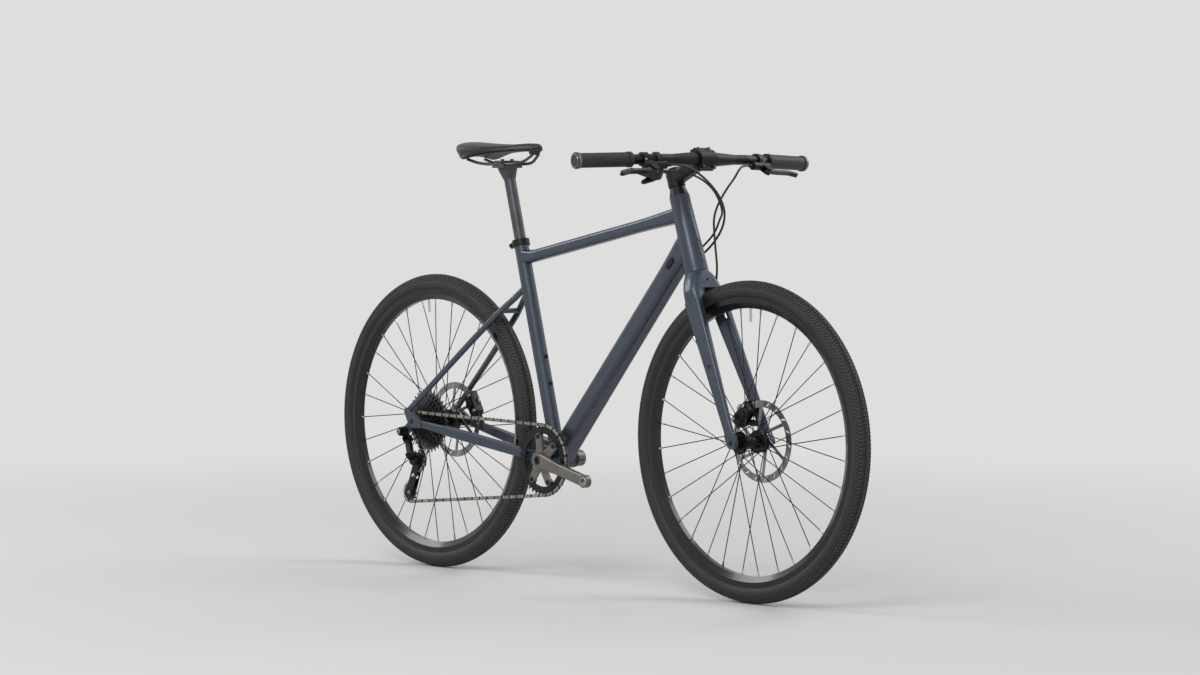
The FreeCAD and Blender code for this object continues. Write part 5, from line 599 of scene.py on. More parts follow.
def ring(outer: float, hole: float, length: float, bevel: float) -> bpy.types.Object:
    """Model a ring about Y with broken outer edges.

    Args:
        outer: Its outer radius.
        hole: Radius of its hole.
        length: Its length.
        bevel: Width of its broken edges.

    Returns:
        The ring, with its middle at the origin.
    """
    piece = barrel(outer, length / 2 - bevel, bevel, sides=40)
    with editing(piece, looking(LEFT, both=True)):
        bpy.ops.mesh.inset(thickness=outer - hole - bevel)
        bpy.ops.mesh.bridge_edge_loops()
    face_outwards(piece)
    return piece


# How deep a screw's head is sunk in its seat.
SUNK = 0.5 * MM
# Width and rise of a screw head's chamfer, flat and socket, as shares of its radius.
SOCKET_STEPS = ((0.12, 0.1), (0.33, 0.0), (0.02, -0.5))


def socket_head(radius: float, height: float) -> bpy.types.Object:
    """Model a socket screw's head that looks to the right, with its seat at the origin.

    Args:
        radius: Its radius.
        height: How far it stands out, without its chamfer.

    Returns:
        The head.
    """
    head = cylinder(radius, height + SUNK, 24, (0, (SUNK - height) / 2, 0))
    with editing(head, looking(RIGHT)):
        step_in([(width * radius, rise * radius) for width, rise in SOCKET_STEPS])
    return head


def draw_line(name: str, places: Sequence[Sequence[float]], smoothness: int) -> bpy.types.Object:
    """Draw a smooth curve with no thickness.

    Args:
        name: Its name.
        places: Its control points.
        smoothness: How many steps it has between two of them.

    Returns:
        The curve.
    """
    curve = bpy.data.curves.new(name, "CURVE")
    curve.dimensions = "3D"
    curve.resolution_u = smoothness
    line = curve.splines.new("NURBS")
    line.points.add(len(places) - 1)
    for point, place in zip(line.points, places):
        point.co = (*place, 1.0)
    line.order_u = 3
    line.use_endpoint_u = True
    drawn = bpy.data.objects.new(name, curve)
    bpy.context.collection.objects.link(drawn)
    return drawn


def thicken(drawn: bpy.types.Object, radius: float, roundness: int) -> bpy.types.Object:
    """Make a drawn curve a tube with closed ends.

    Args:
        drawn: The curve.
        radius: Radius of the tube.
        roundness: How finely its section is rounded.

    Returns:
        The tube.
    """
    drawn.data.bevel_depth = radius
    drawn.data.bevel_resolution = roundness
    drawn.data.use_fill_caps = True
    pick(drawn)
    bpy.ops.object.convert(target="MESH")
    face_outwards(bpy.context.object)
    return bpy.context.object


def between(rows: Table, place: float) -> float:
    """Read a table of places and values at a place between its rows.

    Args:
        rows: Places in rising order, each with its value.
        place: The place.

    Returns:
        The value there.
    """
    for (low, start), (high, end) in zip(rows, rows[1:]):
        if place <= high:
            share = min(max((place - low) / (high - low), 0.0), 1.0)
            return start + (end - start) * share
    return rows[-1][1]


@dataclass
class Tyre:
    """A wheel's tyre: a round casing with a ridged middle, grooves and rows of slanted blocks.

    Attributes:
        outer: Radius over the tread.
        section: Radius of the casing's section.
        around: Segments round the wheel.
        across: Segments round the section, each a row of faces. Rows are counted from the crown.
        pitch: Segments from one block to the next.
        middle_rows: Rows of the ridged middle on each side of the crown.
        groove_row: Row of the groove beside it.
        inner_rows: Rows of blocks beside the groove.
        shoulder_rows: Rows of blocks on the shoulder, which slant the other way.
        bead_row: Row of the raised line above the rim.
        block_rise: Height of the blocks.
        block_inset: How far a block's top is drawn in.
        groove_drop: Depth of the groove.
        bead_rise: Height of the line above the rim.
        smooth_angle: Edges flatter than this are shaded smooth, in degrees.
    """

    outer: float = 351 * MM
    section: float = 19.5 * MM
    around: int = 768
    across: int = 36
    pitch: int = 3
    middle_rows: int = 1
    groove_row: int = 2
    inner_rows: tuple[int, ...] = (3, 4)
    shoulder_rows: tuple[int, ...] = (5, 6, 7)
    bead_row: int = 12
    block_rise: float = 1.5 * MM
    block_inset: float = 0.5 * MM
    groove_drop: float = 0.4 * MM
    bead_rise: float = 0.5 * MM
    smooth_angle: float = 30.0

    @property
    def core(self) -> float:
        """Radius of the circle that the middle of the section runs along."""
        return self.outer - self.block_rise - self.section

    def row(self, middle: Vector) -> int:
        """How many rows a point is away from the crown, with the axle at the origin."""
        radial = math.hypot(middle.x, middle.z) - self.core
        return abs(round(math.atan2(middle.y, radial) / (2 * math.pi / self.across)))

    def turn(self, middle: Vector) -> int:
        """Which segment round the wheel a point is in."""
        return math.floor(math.atan2(middle.z, middle.x) / (2 * math.pi / self.around))

    def in_row(self, row: int) -> Test:
        """A test for the faces of one row."""
        return lambda middle, normal: self.row(middle) == row

    def is_block(self, middle: Vector, normal: Vector) -> bool:
        """Whether a face is raised as a tread block.

        Args:
            middle: Middle of the face.
            normal: Its normal, which doesn't matter.

        Returns:
            True for a block, False for the gaps between them.
        """
        row, turn = self.row(middle), self.turn(middle)
        if row <= self.middle_rows:
            return turn % (2 * self.pitch) != (0 if row else self.pitch)
        if row in self.inner_rows:
            return (turn + row) % self.pitch != 0
        return row in self.shoulder_rows and (turn - row) % self.pitch != 0

    def build(self) -> None:
        """Model the front tyre, and copy it to the rear wheel."""
        fresh()
        bpy.ops.mesh.primitive_circle_add(vertices=self.across, radius=self.section,
                                          location=AHEAD * self.core)
        tyre = bpy.context.object
        freeze(tyre)
        with editing(tyre):
            bpy.ops.mesh.select_mode(type="EDGE")
            bpy.ops.mesh.select_all(action="SELECT")
            bpy.ops.mesh.spin(steps=self.around, angle=2 * math.pi, center=(0, 0, 0), axis=LEFT)
        face_outwards(tyre)
        self.turn_rows(tyre)
        for row, rise in ((self.bead_row, self.bead_rise), (self.groove_row, -self.groove_drop)):
            with editing(tyre, self.in_row(row)):
                bpy.ops.transform.shrink_fatten(value=rise)
        with editing(tyre, self.is_block):
            bpy.ops.mesh.inset(thickness=self.block_inset, depth=self.block_rise)
        self.mark_top_highlight(tyre)
        for piece, name, axle, body in ((tyre, "front_tyre", FRONT_AXLE, Body.FRONT_WHEEL),
                                        (own_copy(tyre), "rear_tyre", REAR_AXLE, Body.REAR_WHEEL)):
            piece.location = axle
            settle(piece, name + "_tread", TYRE_RUBBER, body, self.smooth_angle)
            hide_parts(name)

    def mark_top_highlight(self, tyre: bpy.types.Object) -> None:
        """Mark the tops of the tread blocks, which the tyre's material lightens as a painted highlight.

        Args:
            tyre: The tyre, with the axle at the origin.
        """
        top_highlight = tyre.data.attributes.new(TOP_HIGHLIGHT, "FLOAT", "POINT")
        for point, mark in zip(tyre.data.vertices, top_highlight.data):
            radial = math.hypot(point.co.x, point.co.z) - self.core
            above = math.hypot(radial, point.co.y) - self.section
            mark.value = 1.0 if above > self.block_rise / 2 else 0.0

    def turn_rows(self, tyre: bpy.types.Object) -> None:
        """Turn the section by half a face, so that a row of faces lies on the crown.

        Args:
            tyre: The casing, with the axle at the origin.
        """
        half = math.pi / self.across
        for point in tyre.data.vertices:
            reach = math.hypot(point.co.x, point.co.z)
            angle = math.atan2(point.co.y, reach - self.core) + half
            share = (self.core + self.section * math.cos(angle)) / reach
            point.co = (point.co.x * share, self.section * math.sin(angle), point.co.z * share)


class Run(Enum):
    """Parts of the chain, by the ends of their names."""

    TOP = ""
    LOWER = "_lower"
    CAGE = "_cage"


@dataclass
class Chain:
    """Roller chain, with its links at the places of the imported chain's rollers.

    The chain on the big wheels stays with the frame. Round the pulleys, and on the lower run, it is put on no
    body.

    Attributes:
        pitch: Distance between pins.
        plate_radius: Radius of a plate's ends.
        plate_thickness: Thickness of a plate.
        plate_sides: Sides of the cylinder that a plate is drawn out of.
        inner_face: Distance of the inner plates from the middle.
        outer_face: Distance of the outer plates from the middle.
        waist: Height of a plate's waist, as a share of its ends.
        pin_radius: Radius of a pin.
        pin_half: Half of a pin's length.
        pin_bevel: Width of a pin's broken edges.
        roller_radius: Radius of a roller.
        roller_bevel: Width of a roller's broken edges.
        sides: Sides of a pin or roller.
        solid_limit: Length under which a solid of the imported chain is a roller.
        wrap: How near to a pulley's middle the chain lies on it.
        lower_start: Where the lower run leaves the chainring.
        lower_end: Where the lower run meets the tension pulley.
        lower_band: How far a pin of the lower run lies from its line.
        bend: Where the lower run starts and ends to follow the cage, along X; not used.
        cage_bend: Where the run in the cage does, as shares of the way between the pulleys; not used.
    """

    pitch: float = 12.7 * MM
    plate_radius: float = 4.1 * MM
    plate_thickness: float = 0.85 * MM
    plate_sides: int = 14
    inner_face: float = 1.3 * MM
    outer_face: float = 2.2 * MM
    waist: float = 0.72
    pin_radius: float = 1.85 * MM
    pin_half: float = 3.35 * MM
    pin_bevel: float = 0.4 * MM
    roller_radius: float = 3.85 * MM
    roller_bevel: float = 0.2 * MM
    sides: int = 12
    solid_limit: float = 8.47 * MM
    wrap: float = 26 * MM
    lower_start: tuple[float, float] = (-0.105, 0.2002)
    lower_end: tuple[float, float] = (-0.5566, 0.1586)
    lower_band: float = 8 * MM
    bend: tuple[float, float] = (-0.47, -0.55)
    cage_bend: tuple[float, float] = (0.3, 0.75)

    def run_of(self, pin: Vector) -> Run:
        """Which part of the chain a pin is in.

        Args:
            pin: Middle of the pin.

        Returns:
            The part.
        """
        (front, high), (back, low) = self.lower_start, self.lower_end
        line = low + (high - low) * (pin.x - back) / (front - back)
        if back < pin.x < front and abs(pin.z - line) < self.lower_band:
            return Run.LOWER
        crossing = TENSION_PULLEY.z < pin.z < GUIDE_PULLEY.z and pin.x < GUIDE_PULLEY.x + self.wrap
        near = min(math.dist(pin.xz, pulley.xz) for pulley in (GUIDE_PULLEY, TENSION_PULLEY))
        return Run.CAGE if crossing or near < self.wrap else Run.TOP

    def follow(self, piece: bpy.types.Object, run: Run) -> None:
        """Let a piece of the chain ride the frame if it is in the top run, and otherwise bake its place into
        its mesh.

        Args:
            piece: The piece.
            run: The part of the chain that it is in.
        """
        if run is Run.TOP:
            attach(piece, Body.FRAME.value)
            return
        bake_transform(piece)

    def solids(self) -> list[list[Point]]:
        """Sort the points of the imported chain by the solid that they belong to.

        Returns:
            The points of each solid.
        """
        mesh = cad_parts["chain"].data
        keys = [tuple(round(c, 6) for c in point.co) for point in mesh.vertices]
        owner = {key: key for key in keys}

        def root(key: Point) -> Point:
            """Follow the owners of a point.

            Args:
                key: A point of a solid.

            Returns:
                The point that stands for the solid.
            """
            while owner[key] != key:
                key = owner[key]
            return key

        for face in mesh.polygons:
            first = root(keys[face.vertices[0]])
            for index in face.vertices[1:]:
                owner[root(keys[index])] = first
        found: dict[Point, list[Point]] = {}
        for key in owner:
            found.setdefault(root(key), []).append(key)
        return list(found.values())

    def pin_places(self) -> list[Vector]:
        """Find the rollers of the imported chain.

        Returns:
            Their middles, in order along the chain.
        """
        rest = []
        for points in self.solids():
            low, high = (Vector(map(end, zip(*points))) for end in (min, max))
            if max((high - low).xz) < self.solid_limit:
                rest.append((low + high) / 2)
        route = [max(rest, key=lambda middle: middle.x)]
        rest.remove(route[0])
        while rest:
            route.append(min(rest, key=lambda middle: (middle - route[-1]).length))
            rest.remove(route[-1])
        return route

    def plates(self, face: float) -> bpy.types.Object:
        """Model the two plates of a link, from one pin to the next.

        Args:
            face: Distance of the plates' inner faces from the middle.

        Returns:
            The plates, with the first pin at the origin.
        """
        middle = face + self.plate_thickness / 2
        plate = cylinder(self.plate_radius, self.plate_thickness, self.plate_sides, (0, middle, 0))
        with editing(plate, lambda place, normal: place.x > MERGE, points=True):
            bpy.ops.transform.translate(value=(self.pitch, 0, 0))
        with editing(plate):
            bpy.ops.mesh.bisect(plane_co=(self.pitch / 2, 0, 0), plane_no=AHEAD)
            bpy.ops.transform.resize(value=(1, 1, self.waist))
            bpy.ops.mesh.select_all(action="SELECT")
            bpy.ops.mesh.duplicate_move(TRANSFORM_OT_translate={"value": (0, -2 * middle, 0)})
        return plate

    def build(self) -> None:
        """Model the links, pins and rollers, and lay them along the chain."""
        pins = self.pin_places()
        for run in Run:
            outer, inner, spots = [], [], []
            for index, (here, after) in enumerate(zip(pins, pins[1:] + pins[:1])):
                if self.run_of(here) is not run:
                    continue
                along = (after - here).normalized()
                up = along.cross(LEFT).normalized()
                turn = Matrix((along, up.cross(along), up)).transposed().to_4x4()
                spots.append(Matrix.Translation(here))
                (outer, inner)[index % 2].append(spots[-1] @ turn)
            pin = barrel(self.pin_radius, self.pin_half, self.pin_bevel, self.sides)
            roller = barrel(self.roller_radius, self.inner_face - self.roller_bevel, self.roller_bevel,
                            self.sides)
            for model, places, part, finish in (
                    (self.plates(self.outer_face), outer, "outer_plates", CHAIN_NICKEL),
                    (self.plates(self.inner_face), inner, "inner_plates", CHAIN_DARK),
                    (pin, spots, "pins", CHAIN_NICKEL), (roller, spots, "rollers", CHAIN_DARK)):
                piece = settle(copies_joined(model, places), "chain_%s%s" % (part, run.value), finish, None)
                self.follow(piece, run)
                if run is Run.TOP and part == "outer_plates":
                    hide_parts("chain")


@dataclass(frozen=True)
class Hose:
    """One hose or cable housing by its route.

    Attributes:
        name: Its CAD node.
        radius: Its radius.
        bends: Whether it should bend with the steering; such a hose is put on no body, and the others ride
            the steering.
        route: Its control points, from the lever to where it goes in.
        smoothness: Steps between two control points.
        roundness: How finely its section is rounded.
    """

    name: str
    radius: float
    bends: bool
    route: tuple[Point, ...]
    smoothness: int = 8
    roundness: int = 4

    def build(self) -> None:
        drawn = draw_line(self.name + "_line", self.route, self.smoothness)
        bpy.context.view_layer.update()
        sampled = bpy.data.meshes.new_from_object(drawn)
        bpy.data.meshes.remove(sampled)
        body = None if self.bends else Body.STEERING
        tube = settle(thicken(drawn, self.radius, self.roundness), self.name + "_skin", HOSE_SKIN, body,
                      SOFT)
        if self.bends:
            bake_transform(tube)
        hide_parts(self.name)


HOSES = (
    Hose("front_brake_hose", 2.5 * MM, False, (
        (0.4070, 0.1197, 0.9526), (0.4104, 0.0980, 0.9532), (0.4197, 0.0760, 0.9438),
        (0.4243, 0.0580, 0.9253), (0.4163, 0.0450, 0.9050), (0.4052, 0.0350, 0.8809),
        (0.3952, 0.0300, 0.8586), (0.3886, 0.0280, 0.8344), (0.3901, 0.0280, 0.8096),
        (0.3928, 0.0278, 0.7852), (0.3954, 0.0284, 0.7618), (0.3974, 0.0296, 0.7382),
        (0.3966, 0.0310, 0.7158), (0.3926, 0.0320, 0.6965))),
    Hose("rear_brake_hose", 2.5 * MM, True, (
        (0.4070, -0.1197, 0.9526), (0.4104, -0.0980, 0.9532), (0.4127, -0.0727, 0.9481),
        (0.4157, -0.0487, 0.9376), (0.4206, -0.0267, 0.9213), (0.4268, -0.0067, 0.9012),
        (0.4308, 0.0093, 0.8783), (0.4283, 0.0233, 0.8542), (0.4182, 0.0325, 0.8322),
        (0.4015, 0.0395, 0.8097), (0.3810, 0.0425, 0.7891), (0.3598, 0.0425, 0.7705),
        (0.3377, 0.0405, 0.7546), (0.3157, 0.0335, 0.7415), (0.2979, 0.0220, 0.7318))),
    Hose("shift_cable", 2.3 * MM, True, (
        (0.3793, -0.1064, 0.9383), (0.3825, -0.0850, 0.9388), (0.3887, -0.0604, 0.9372),
        (0.3975, -0.0364, 0.9296), (0.4078, -0.0144, 0.9162), (0.4167, 0.0036, 0.8960),
        (0.4205, 0.0166, 0.8719), (0.4180, 0.0276, 0.8479), (0.4037, 0.0315, 0.8327),
        (0.3891, 0.0365, 0.8130), (0.3718, 0.0390, 0.7956), (0.3509, 0.0385, 0.7792),
        (0.3329, 0.0345, 0.7637), (0.3181, 0.0285, 0.7513), (0.3057, 0.0220, 0.7409))),
)


@dataclass
class Saddle:
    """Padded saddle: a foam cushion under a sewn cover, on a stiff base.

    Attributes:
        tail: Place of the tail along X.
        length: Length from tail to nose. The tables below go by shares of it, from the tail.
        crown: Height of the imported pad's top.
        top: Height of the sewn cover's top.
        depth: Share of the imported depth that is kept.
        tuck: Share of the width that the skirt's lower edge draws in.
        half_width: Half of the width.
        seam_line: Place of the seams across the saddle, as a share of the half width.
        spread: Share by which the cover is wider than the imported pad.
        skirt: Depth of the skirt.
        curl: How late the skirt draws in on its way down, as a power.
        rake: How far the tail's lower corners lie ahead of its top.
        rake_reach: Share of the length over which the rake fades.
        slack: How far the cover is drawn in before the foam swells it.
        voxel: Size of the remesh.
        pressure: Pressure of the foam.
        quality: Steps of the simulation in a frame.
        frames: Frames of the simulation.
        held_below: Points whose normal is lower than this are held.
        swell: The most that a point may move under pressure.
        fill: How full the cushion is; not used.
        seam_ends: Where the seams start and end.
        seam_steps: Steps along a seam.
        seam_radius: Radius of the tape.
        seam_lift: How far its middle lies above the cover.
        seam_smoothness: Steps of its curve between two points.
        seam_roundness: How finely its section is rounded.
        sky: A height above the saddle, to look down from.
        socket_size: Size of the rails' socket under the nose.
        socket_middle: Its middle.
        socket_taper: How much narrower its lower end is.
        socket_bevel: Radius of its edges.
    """

    tail: float = -0.4230
    length: float = 0.265
    crown: Table = ((0, 1.0054), (0.05, 1.0129), (0.17, 1.015), (0.33, 1.0121), (0.5, 1.0097), (0.66, 1.0092),
                    (0.83, 1.0099), (0.96, 1.0076), (1, 0.9991))
    top: Table = ((0, 1.0125), (0.05, 1.0162), (0.17, 1.0150), (0.33, 1.0110), (0.5, 1.0087), (0.66, 1.0087),
                  (0.83, 1.0105), (0.96, 1.0095), (1, 1.0040))
    depth: Table = ((0, 1.0), (0.1, 0.96), (0.17, 0.86), (0.33, 0.66), (0.5, 0.58), (0.7, 0.6), (0.9, 0.72),
                    (1, 0.8))
    tuck: Table = ((0, 0.2), (0.17, 0.24), (0.36, 0.2), (0.6, 0.06), (1, 0.0))
    half_width: Table = ((0, 0.033), (0.05, 0.058), (0.17, 0.0725), (0.33, 0.0624), (0.5, 0.0363),
                         (0.66, 0.0232), (0.83, 0.0196), (0.96, 0.0145), (1, 0.0073))
    seam_line: Table = ((0, 0.9), (0.3, 0.86), (0.6, 0.74), (1, 0.6))
    spread: float = 0.02
    skirt: float = 34 * MM
    curl: float = 1.5
    rake: float = 14 * MM
    rake_reach: float = 0.35
    slack: float = 1.2 * MM
    voxel: float = 4 * MM
    pressure: float = 4.0
    quality: int = 5
    frames: int = 20
    held_below: float = -0.25
    swell: float = 3 * MM
    fill: float = 0.85
    seam_ends: tuple[float, float] = (0.05, 0.95)
    seam_steps: int = 24
    seam_radius: float = 1.1 * MM
    seam_lift: float = 0.1 * MM
    seam_smoothness: int = 12
    seam_roundness: int = 2
    sky: float = 1.1
    socket_size: Point = (0.020, 0.028, 0.016)
    socket_middle: Point = (-0.1795, 0, 0.9900)
    socket_taper: Point = (0.7, 0.8, 1)
    socket_bevel: float = 3 * MM

    def copy_of(self, node: str, name: str) -> bpy.types.Object:
        """Copy a CAD node as a merged mesh of its own, drawn up to the thinner middle and nose.

        Args:
            node: The CAD node.
            name: Name of the copy.

        Returns:
            The copy.
        """
        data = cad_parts[node].data.copy()
        piece = bpy.data.objects.new(name, data)
        bpy.context.collection.objects.link(piece)
        pick(piece)
        bpy.ops.mesh.customdata_custom_splitnormals_clear()
        face_outwards(piece)
        for point in data.vertices:
            share = (point.co.x - self.tail) / self.length
            below = between(self.crown, share) - point.co.z
            point.co.z = between(self.top, share) - below * between(self.depth, share)
            low = min(max(below / self.skirt, 0.0), 1.0) ** self.curl
            wing = min(abs(point.co.y) / between(self.half_width, share), 1.0)
            point.co.x += self.rake * low * wing * max(1 - share / self.rake_reach, 0.0)
            point.co.y *= 1 + self.spread - between(self.tuck, share) * low
        return piece

    def cushion(self) -> bpy.types.Object:
        """Swell the pad like foam under its cover.

        Returns:
            The cushion.
        """
        pad = self.copy_of("saddle_pad", "saddle_cushion")
        with editing(pad):
            bpy.ops.transform.shrink_fatten(value=-self.slack)
        pad.data.remesh_voxel_size = self.voxel
        bpy.ops.object.voxel_remesh()
        self.inflate(pad)
        pick(pad)
        rounding = pad.modifiers.new("rounding", "SUBSURF")
        rounding.levels = rounding.render_levels = 1
        bpy.ops.object.modifier_apply(modifier=rounding.name)
        return pad

    def inflate(self, pad: bpy.types.Object) -> None:
        """Run the pressure of the foam against the cover, with the underside held.

        Args:
            pad: The pad, remeshed.
        """
        before = [point.co.copy() for point in pad.data.vertices]
        held = pad.vertex_groups.new(name="underside")
        under = [point.index for point in pad.data.vertices if point.normal.z < self.held_below]
        held.add(under, 1.0, "REPLACE")
        cloth = pad.modifiers.new("cover", "CLOTH")
        settings = cloth.settings
        settings.use_pressure = True
        settings.uniform_pressure_force = self.pressure
        settings.effector_weights.gravity = 0.0
        settings.vertex_group_mass = held.name
        settings.quality = self.quality
        scene = bpy.context.scene
        for clock in (scene, cloth.point_cache):
            clock.frame_start, clock.frame_end = 1, self.frames
        for step in range(1, self.frames + 1):
            scene.frame_set(step)
        pick(pad)
        bpy.ops.object.modifier_apply(modifier=cloth.name)
        scene.frame_set(1)
        for point, start in zip(pad.data.vertices, before):
            way = point.co - start
            if way.length > self.swell:
                point.co = start + way.normalized() * self.swell

    def seam(self, cushion: bpy.types.Object, side: int) -> bpy.types.Object:
        """Lay a taped seam along the cover, from the tail's edge up to the nose.

        Args:
            cushion: The finished cushion.
            side: 1 on the left and -1 on the right.

        Returns:
            The seam.
        """
        points = []
        first, last = self.seam_ends
        for step in range(self.seam_steps + 1):
            share = first + (last - first) * step / self.seam_steps
            y = side * between(self.half_width, share) * between(self.seam_line, share)
            start = Vector((self.tail + self.length * share, y, self.sky))
            hit, place, normal, _ = cushion.ray_cast(start, DOWN)
            if hit:
                points.append(place + normal * self.seam_lift)
        return thicken(draw_line("seam", points, self.seam_smoothness), self.seam_radius, self.seam_roundness)

    def nose_socket(self) -> bpy.types.Object:
        """Model the block under the nose that the rails plug into.

        Returns:
            The block.
        """
        socket = block(self.socket_size, self.socket_middle)
        with editing(socket, looking(DOWN)):
            bpy.ops.transform.resize(value=self.socket_taper)
            bpy.ops.mesh.select_all(action="SELECT")
            bpy.ops.mesh.bevel(offset=self.socket_bevel, segments=3, affect="EDGES")
        return socket

    def build(self) -> None:
        """Build the cushion, its seams, the base and the rails' socket."""
        cushion = self.cushion()
        seams = [(self.seam(cushion, side), name) for side, name in ((1, "left"), (-1, "right"))]
        settle(cushion, "saddle_cushion", SADDLE_SKIN, Body.SADDLE, SOFT)
        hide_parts("saddle_pad")
        for seam, name in seams:
            settle(seam, "saddle_seam_" + name, SEAM_TAPE, Body.SADDLE, SOFT)
        base = self.copy_of("saddle_shell", "saddle_base")
        settle(base, "saddle_base", BLACK_PLASTIC, Body.SADDLE)
        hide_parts("saddle_shell")
        settle(self.nose_socket(), "saddle_nose_socket", BLACK_PLASTIC, Body.SADDLE)


@dataclass
class PedalEyes:
    """Bright thread inserts in the ends of the cranks.

    Attributes:
        crank_length: Distance from the spindle to the pedal.
        crank_angle: Turn of the right crank below straight ahead, in degrees.
        outer_face: Distance of the cranks' outer faces from the middle.
        radius: Radius of the insert.
        hole: Radius of its hole.
        length: Its length, half of which stands out.
        bevel: Width of its broken edges.
    """

    crank_length: float = 175 * MM
    crank_angle: float = 12.5
    outer_face: float = 79 * MM
    radius: float = 10 * MM
    hole: float = 7.2 * MM
    length: float = 1.8 * MM
    bevel: float = 0.4 * MM

    def build(self) -> None:
        """Model one insert and copy it to both cranks."""
        angle = math.radians(self.crank_angle)
        ahead = Vector((math.cos(angle), 0, -math.sin(angle))) * self.crank_length
        places = [Matrix.Translation(BRACKET + way * (ahead + RIGHT * self.outer_face)) for way in (1, -1)]
        eyes = copies_joined(ring(self.radius, self.hole, self.length, self.bevel), places)
        settle(eyes, "pedal_thread_inserts", BOLT_STEEL, Body.CRANK)


@dataclass(frozen=True)
class SideBolt:
    """A bolt's head on the right side of a CAD node.

    Attributes:
        name: Its name.
        node: The node that it is screwed into.
        body: The body it rides on.
        axis: Its axis, along X and Z.
        radius: Radius of the head.
        finish: Its material.
        slot: Name of its material slot; not used.
        height: How far it stands out, as a share of its radius.
    """

    name: str
    node: str
    body: Body
    axis: tuple[float, float]
    radius: float
    finish: Finish = BOLT_STEEL
    slot: Slot = Slot.BRIGHT_STEEL
    height: float = 0.3

    def build(self) -> None:
        """Seat the head on the outermost face at its axis."""
        x, z = self.axis
        hit, seat, _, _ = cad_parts[self.node].ray_cast(Vector((x, RIGHT.y, z)), LEFT)
        if not hit:
            LOG.warning("%s: no face to sit on", self.name)
            return
        head = socket_head(self.radius, self.height * self.radius)
        head.location = seat
        settle(head, self.name, self.finish, self.body)


SIDE_BOLTS = (
    SideBolt("crank_bolt", "crank_arm_right", Body.CRANK, (BRACKET.x, BRACKET.z), 9 * MM, BLACK_METAL,
             Slot.BLACK_ALUMINIUM),
    SideBolt("hanger_bolt_head", "derailleur_body", Body.FRAME, (-0.560, 0.327), 5.5 * MM),
    SideBolt("tension_pulley_bolt", "derailleur_cage", Body.CAGE, (TENSION_PULLEY.x, TENSION_PULLEY.z),
             4 * MM),
)


@dataclass
class BarTrim:
    """Clamp rings and plugs at the ends of the handlebar, and the screws of the brake levers' clamps.

    Attributes:
        bar_end: Right end of the handlebar.
        heading: Direction of the right end, outwards.
        inset: Distance of the ring's middle from the bar's end.
        radius: Outer radius of the ring.
        hole: Inner radius of the ring.
        width: Width of the ring.
        bevel: Width of its broken edges.
        plug: Radius of the plug's rim.
        bore: Radius of the plug's hollow.
        plug_length: Length of the plug's rim.
        plug_bevel: Width of its broken edges.
        plug_out: How far the rim's middle stands out of the bar.
        clamp_inset: Distance of the brake levers' clamps from the bar's end.
        clamp_radius: Radius of those clamps.
        screw: Radius and height of a clamp's screw head.
    """

    bar_end: Point = (0.34978, -0.3460, 0.95991)
    heading: Point = (-0.15638, -0.98735, -0.02617)
    inset: float = 4.5 * MM
    radius: float = 18.2 * MM
    hole: float = 17.25 * MM
    width: float = 7.5 * MM
    bevel: float = 0.6 * MM
    plug: float = 14.5 * MM
    bore: float = 10.5 * MM
    plug_length: float = 2 * MM
    plug_bevel: float = 0.5 * MM
    plug_out: float = 1.1 * MM
    clamp_inset: float = 172 * MM
    clamp_radius: float = 15.5 * MM
    screw: tuple[float, float] = (3 * MM, 2 * MM)

    def places(self, inset: float) -> list[Matrix]:
        """Places on the bar's axis at both ends, with Y outwards.

        Args:
            inset: Distance from the bar's end.

        Returns:
            The right place and the left one.
        """
        found = []
        for side in (1, -1):
            mirror = Vector((1, side, 1))
            heading = Vector(self.heading) * mirror
            middle = Vector(self.bar_end) * mirror - heading * inset
            found.append(Matrix.Translation(middle) @ heading.to_track_quat("Y", "Z").to_matrix().to_4x4())
        return found

    def build(self) -> None:
        """Model one ring, one plug and one screw, and copy them to both ends."""
        fronts = [end @ Matrix.Rotation(turn, 4, "Z") @ Matrix.Translation(RIGHT * self.clamp_radius)
                  for end, turn in zip(self.places(self.clamp_inset), (-math.pi / 2, math.pi / 2))]
        collar = ring(self.radius, self.hole, self.width, self.bevel)
        plug = ring(self.plug, self.bore, self.plug_length, self.plug_bevel)
        for model, places, name, finish, slot in (
                (collar, self.places(self.inset), "grip_collars", GREY_METAL, Slot.GREY_ALUMINIUM),
                (plug, self.places(-self.plug_out), "bar_end_plugs", BOLT_STEEL, Slot.BRIGHT_STEEL),
                (socket_head(*self.screw), fronts, "lever_clamp_screws", BOLT_STEEL, Slot.BRIGHT_STEEL)):
            settle(copies_joined(model, places), name, finish, Body.STEERING)


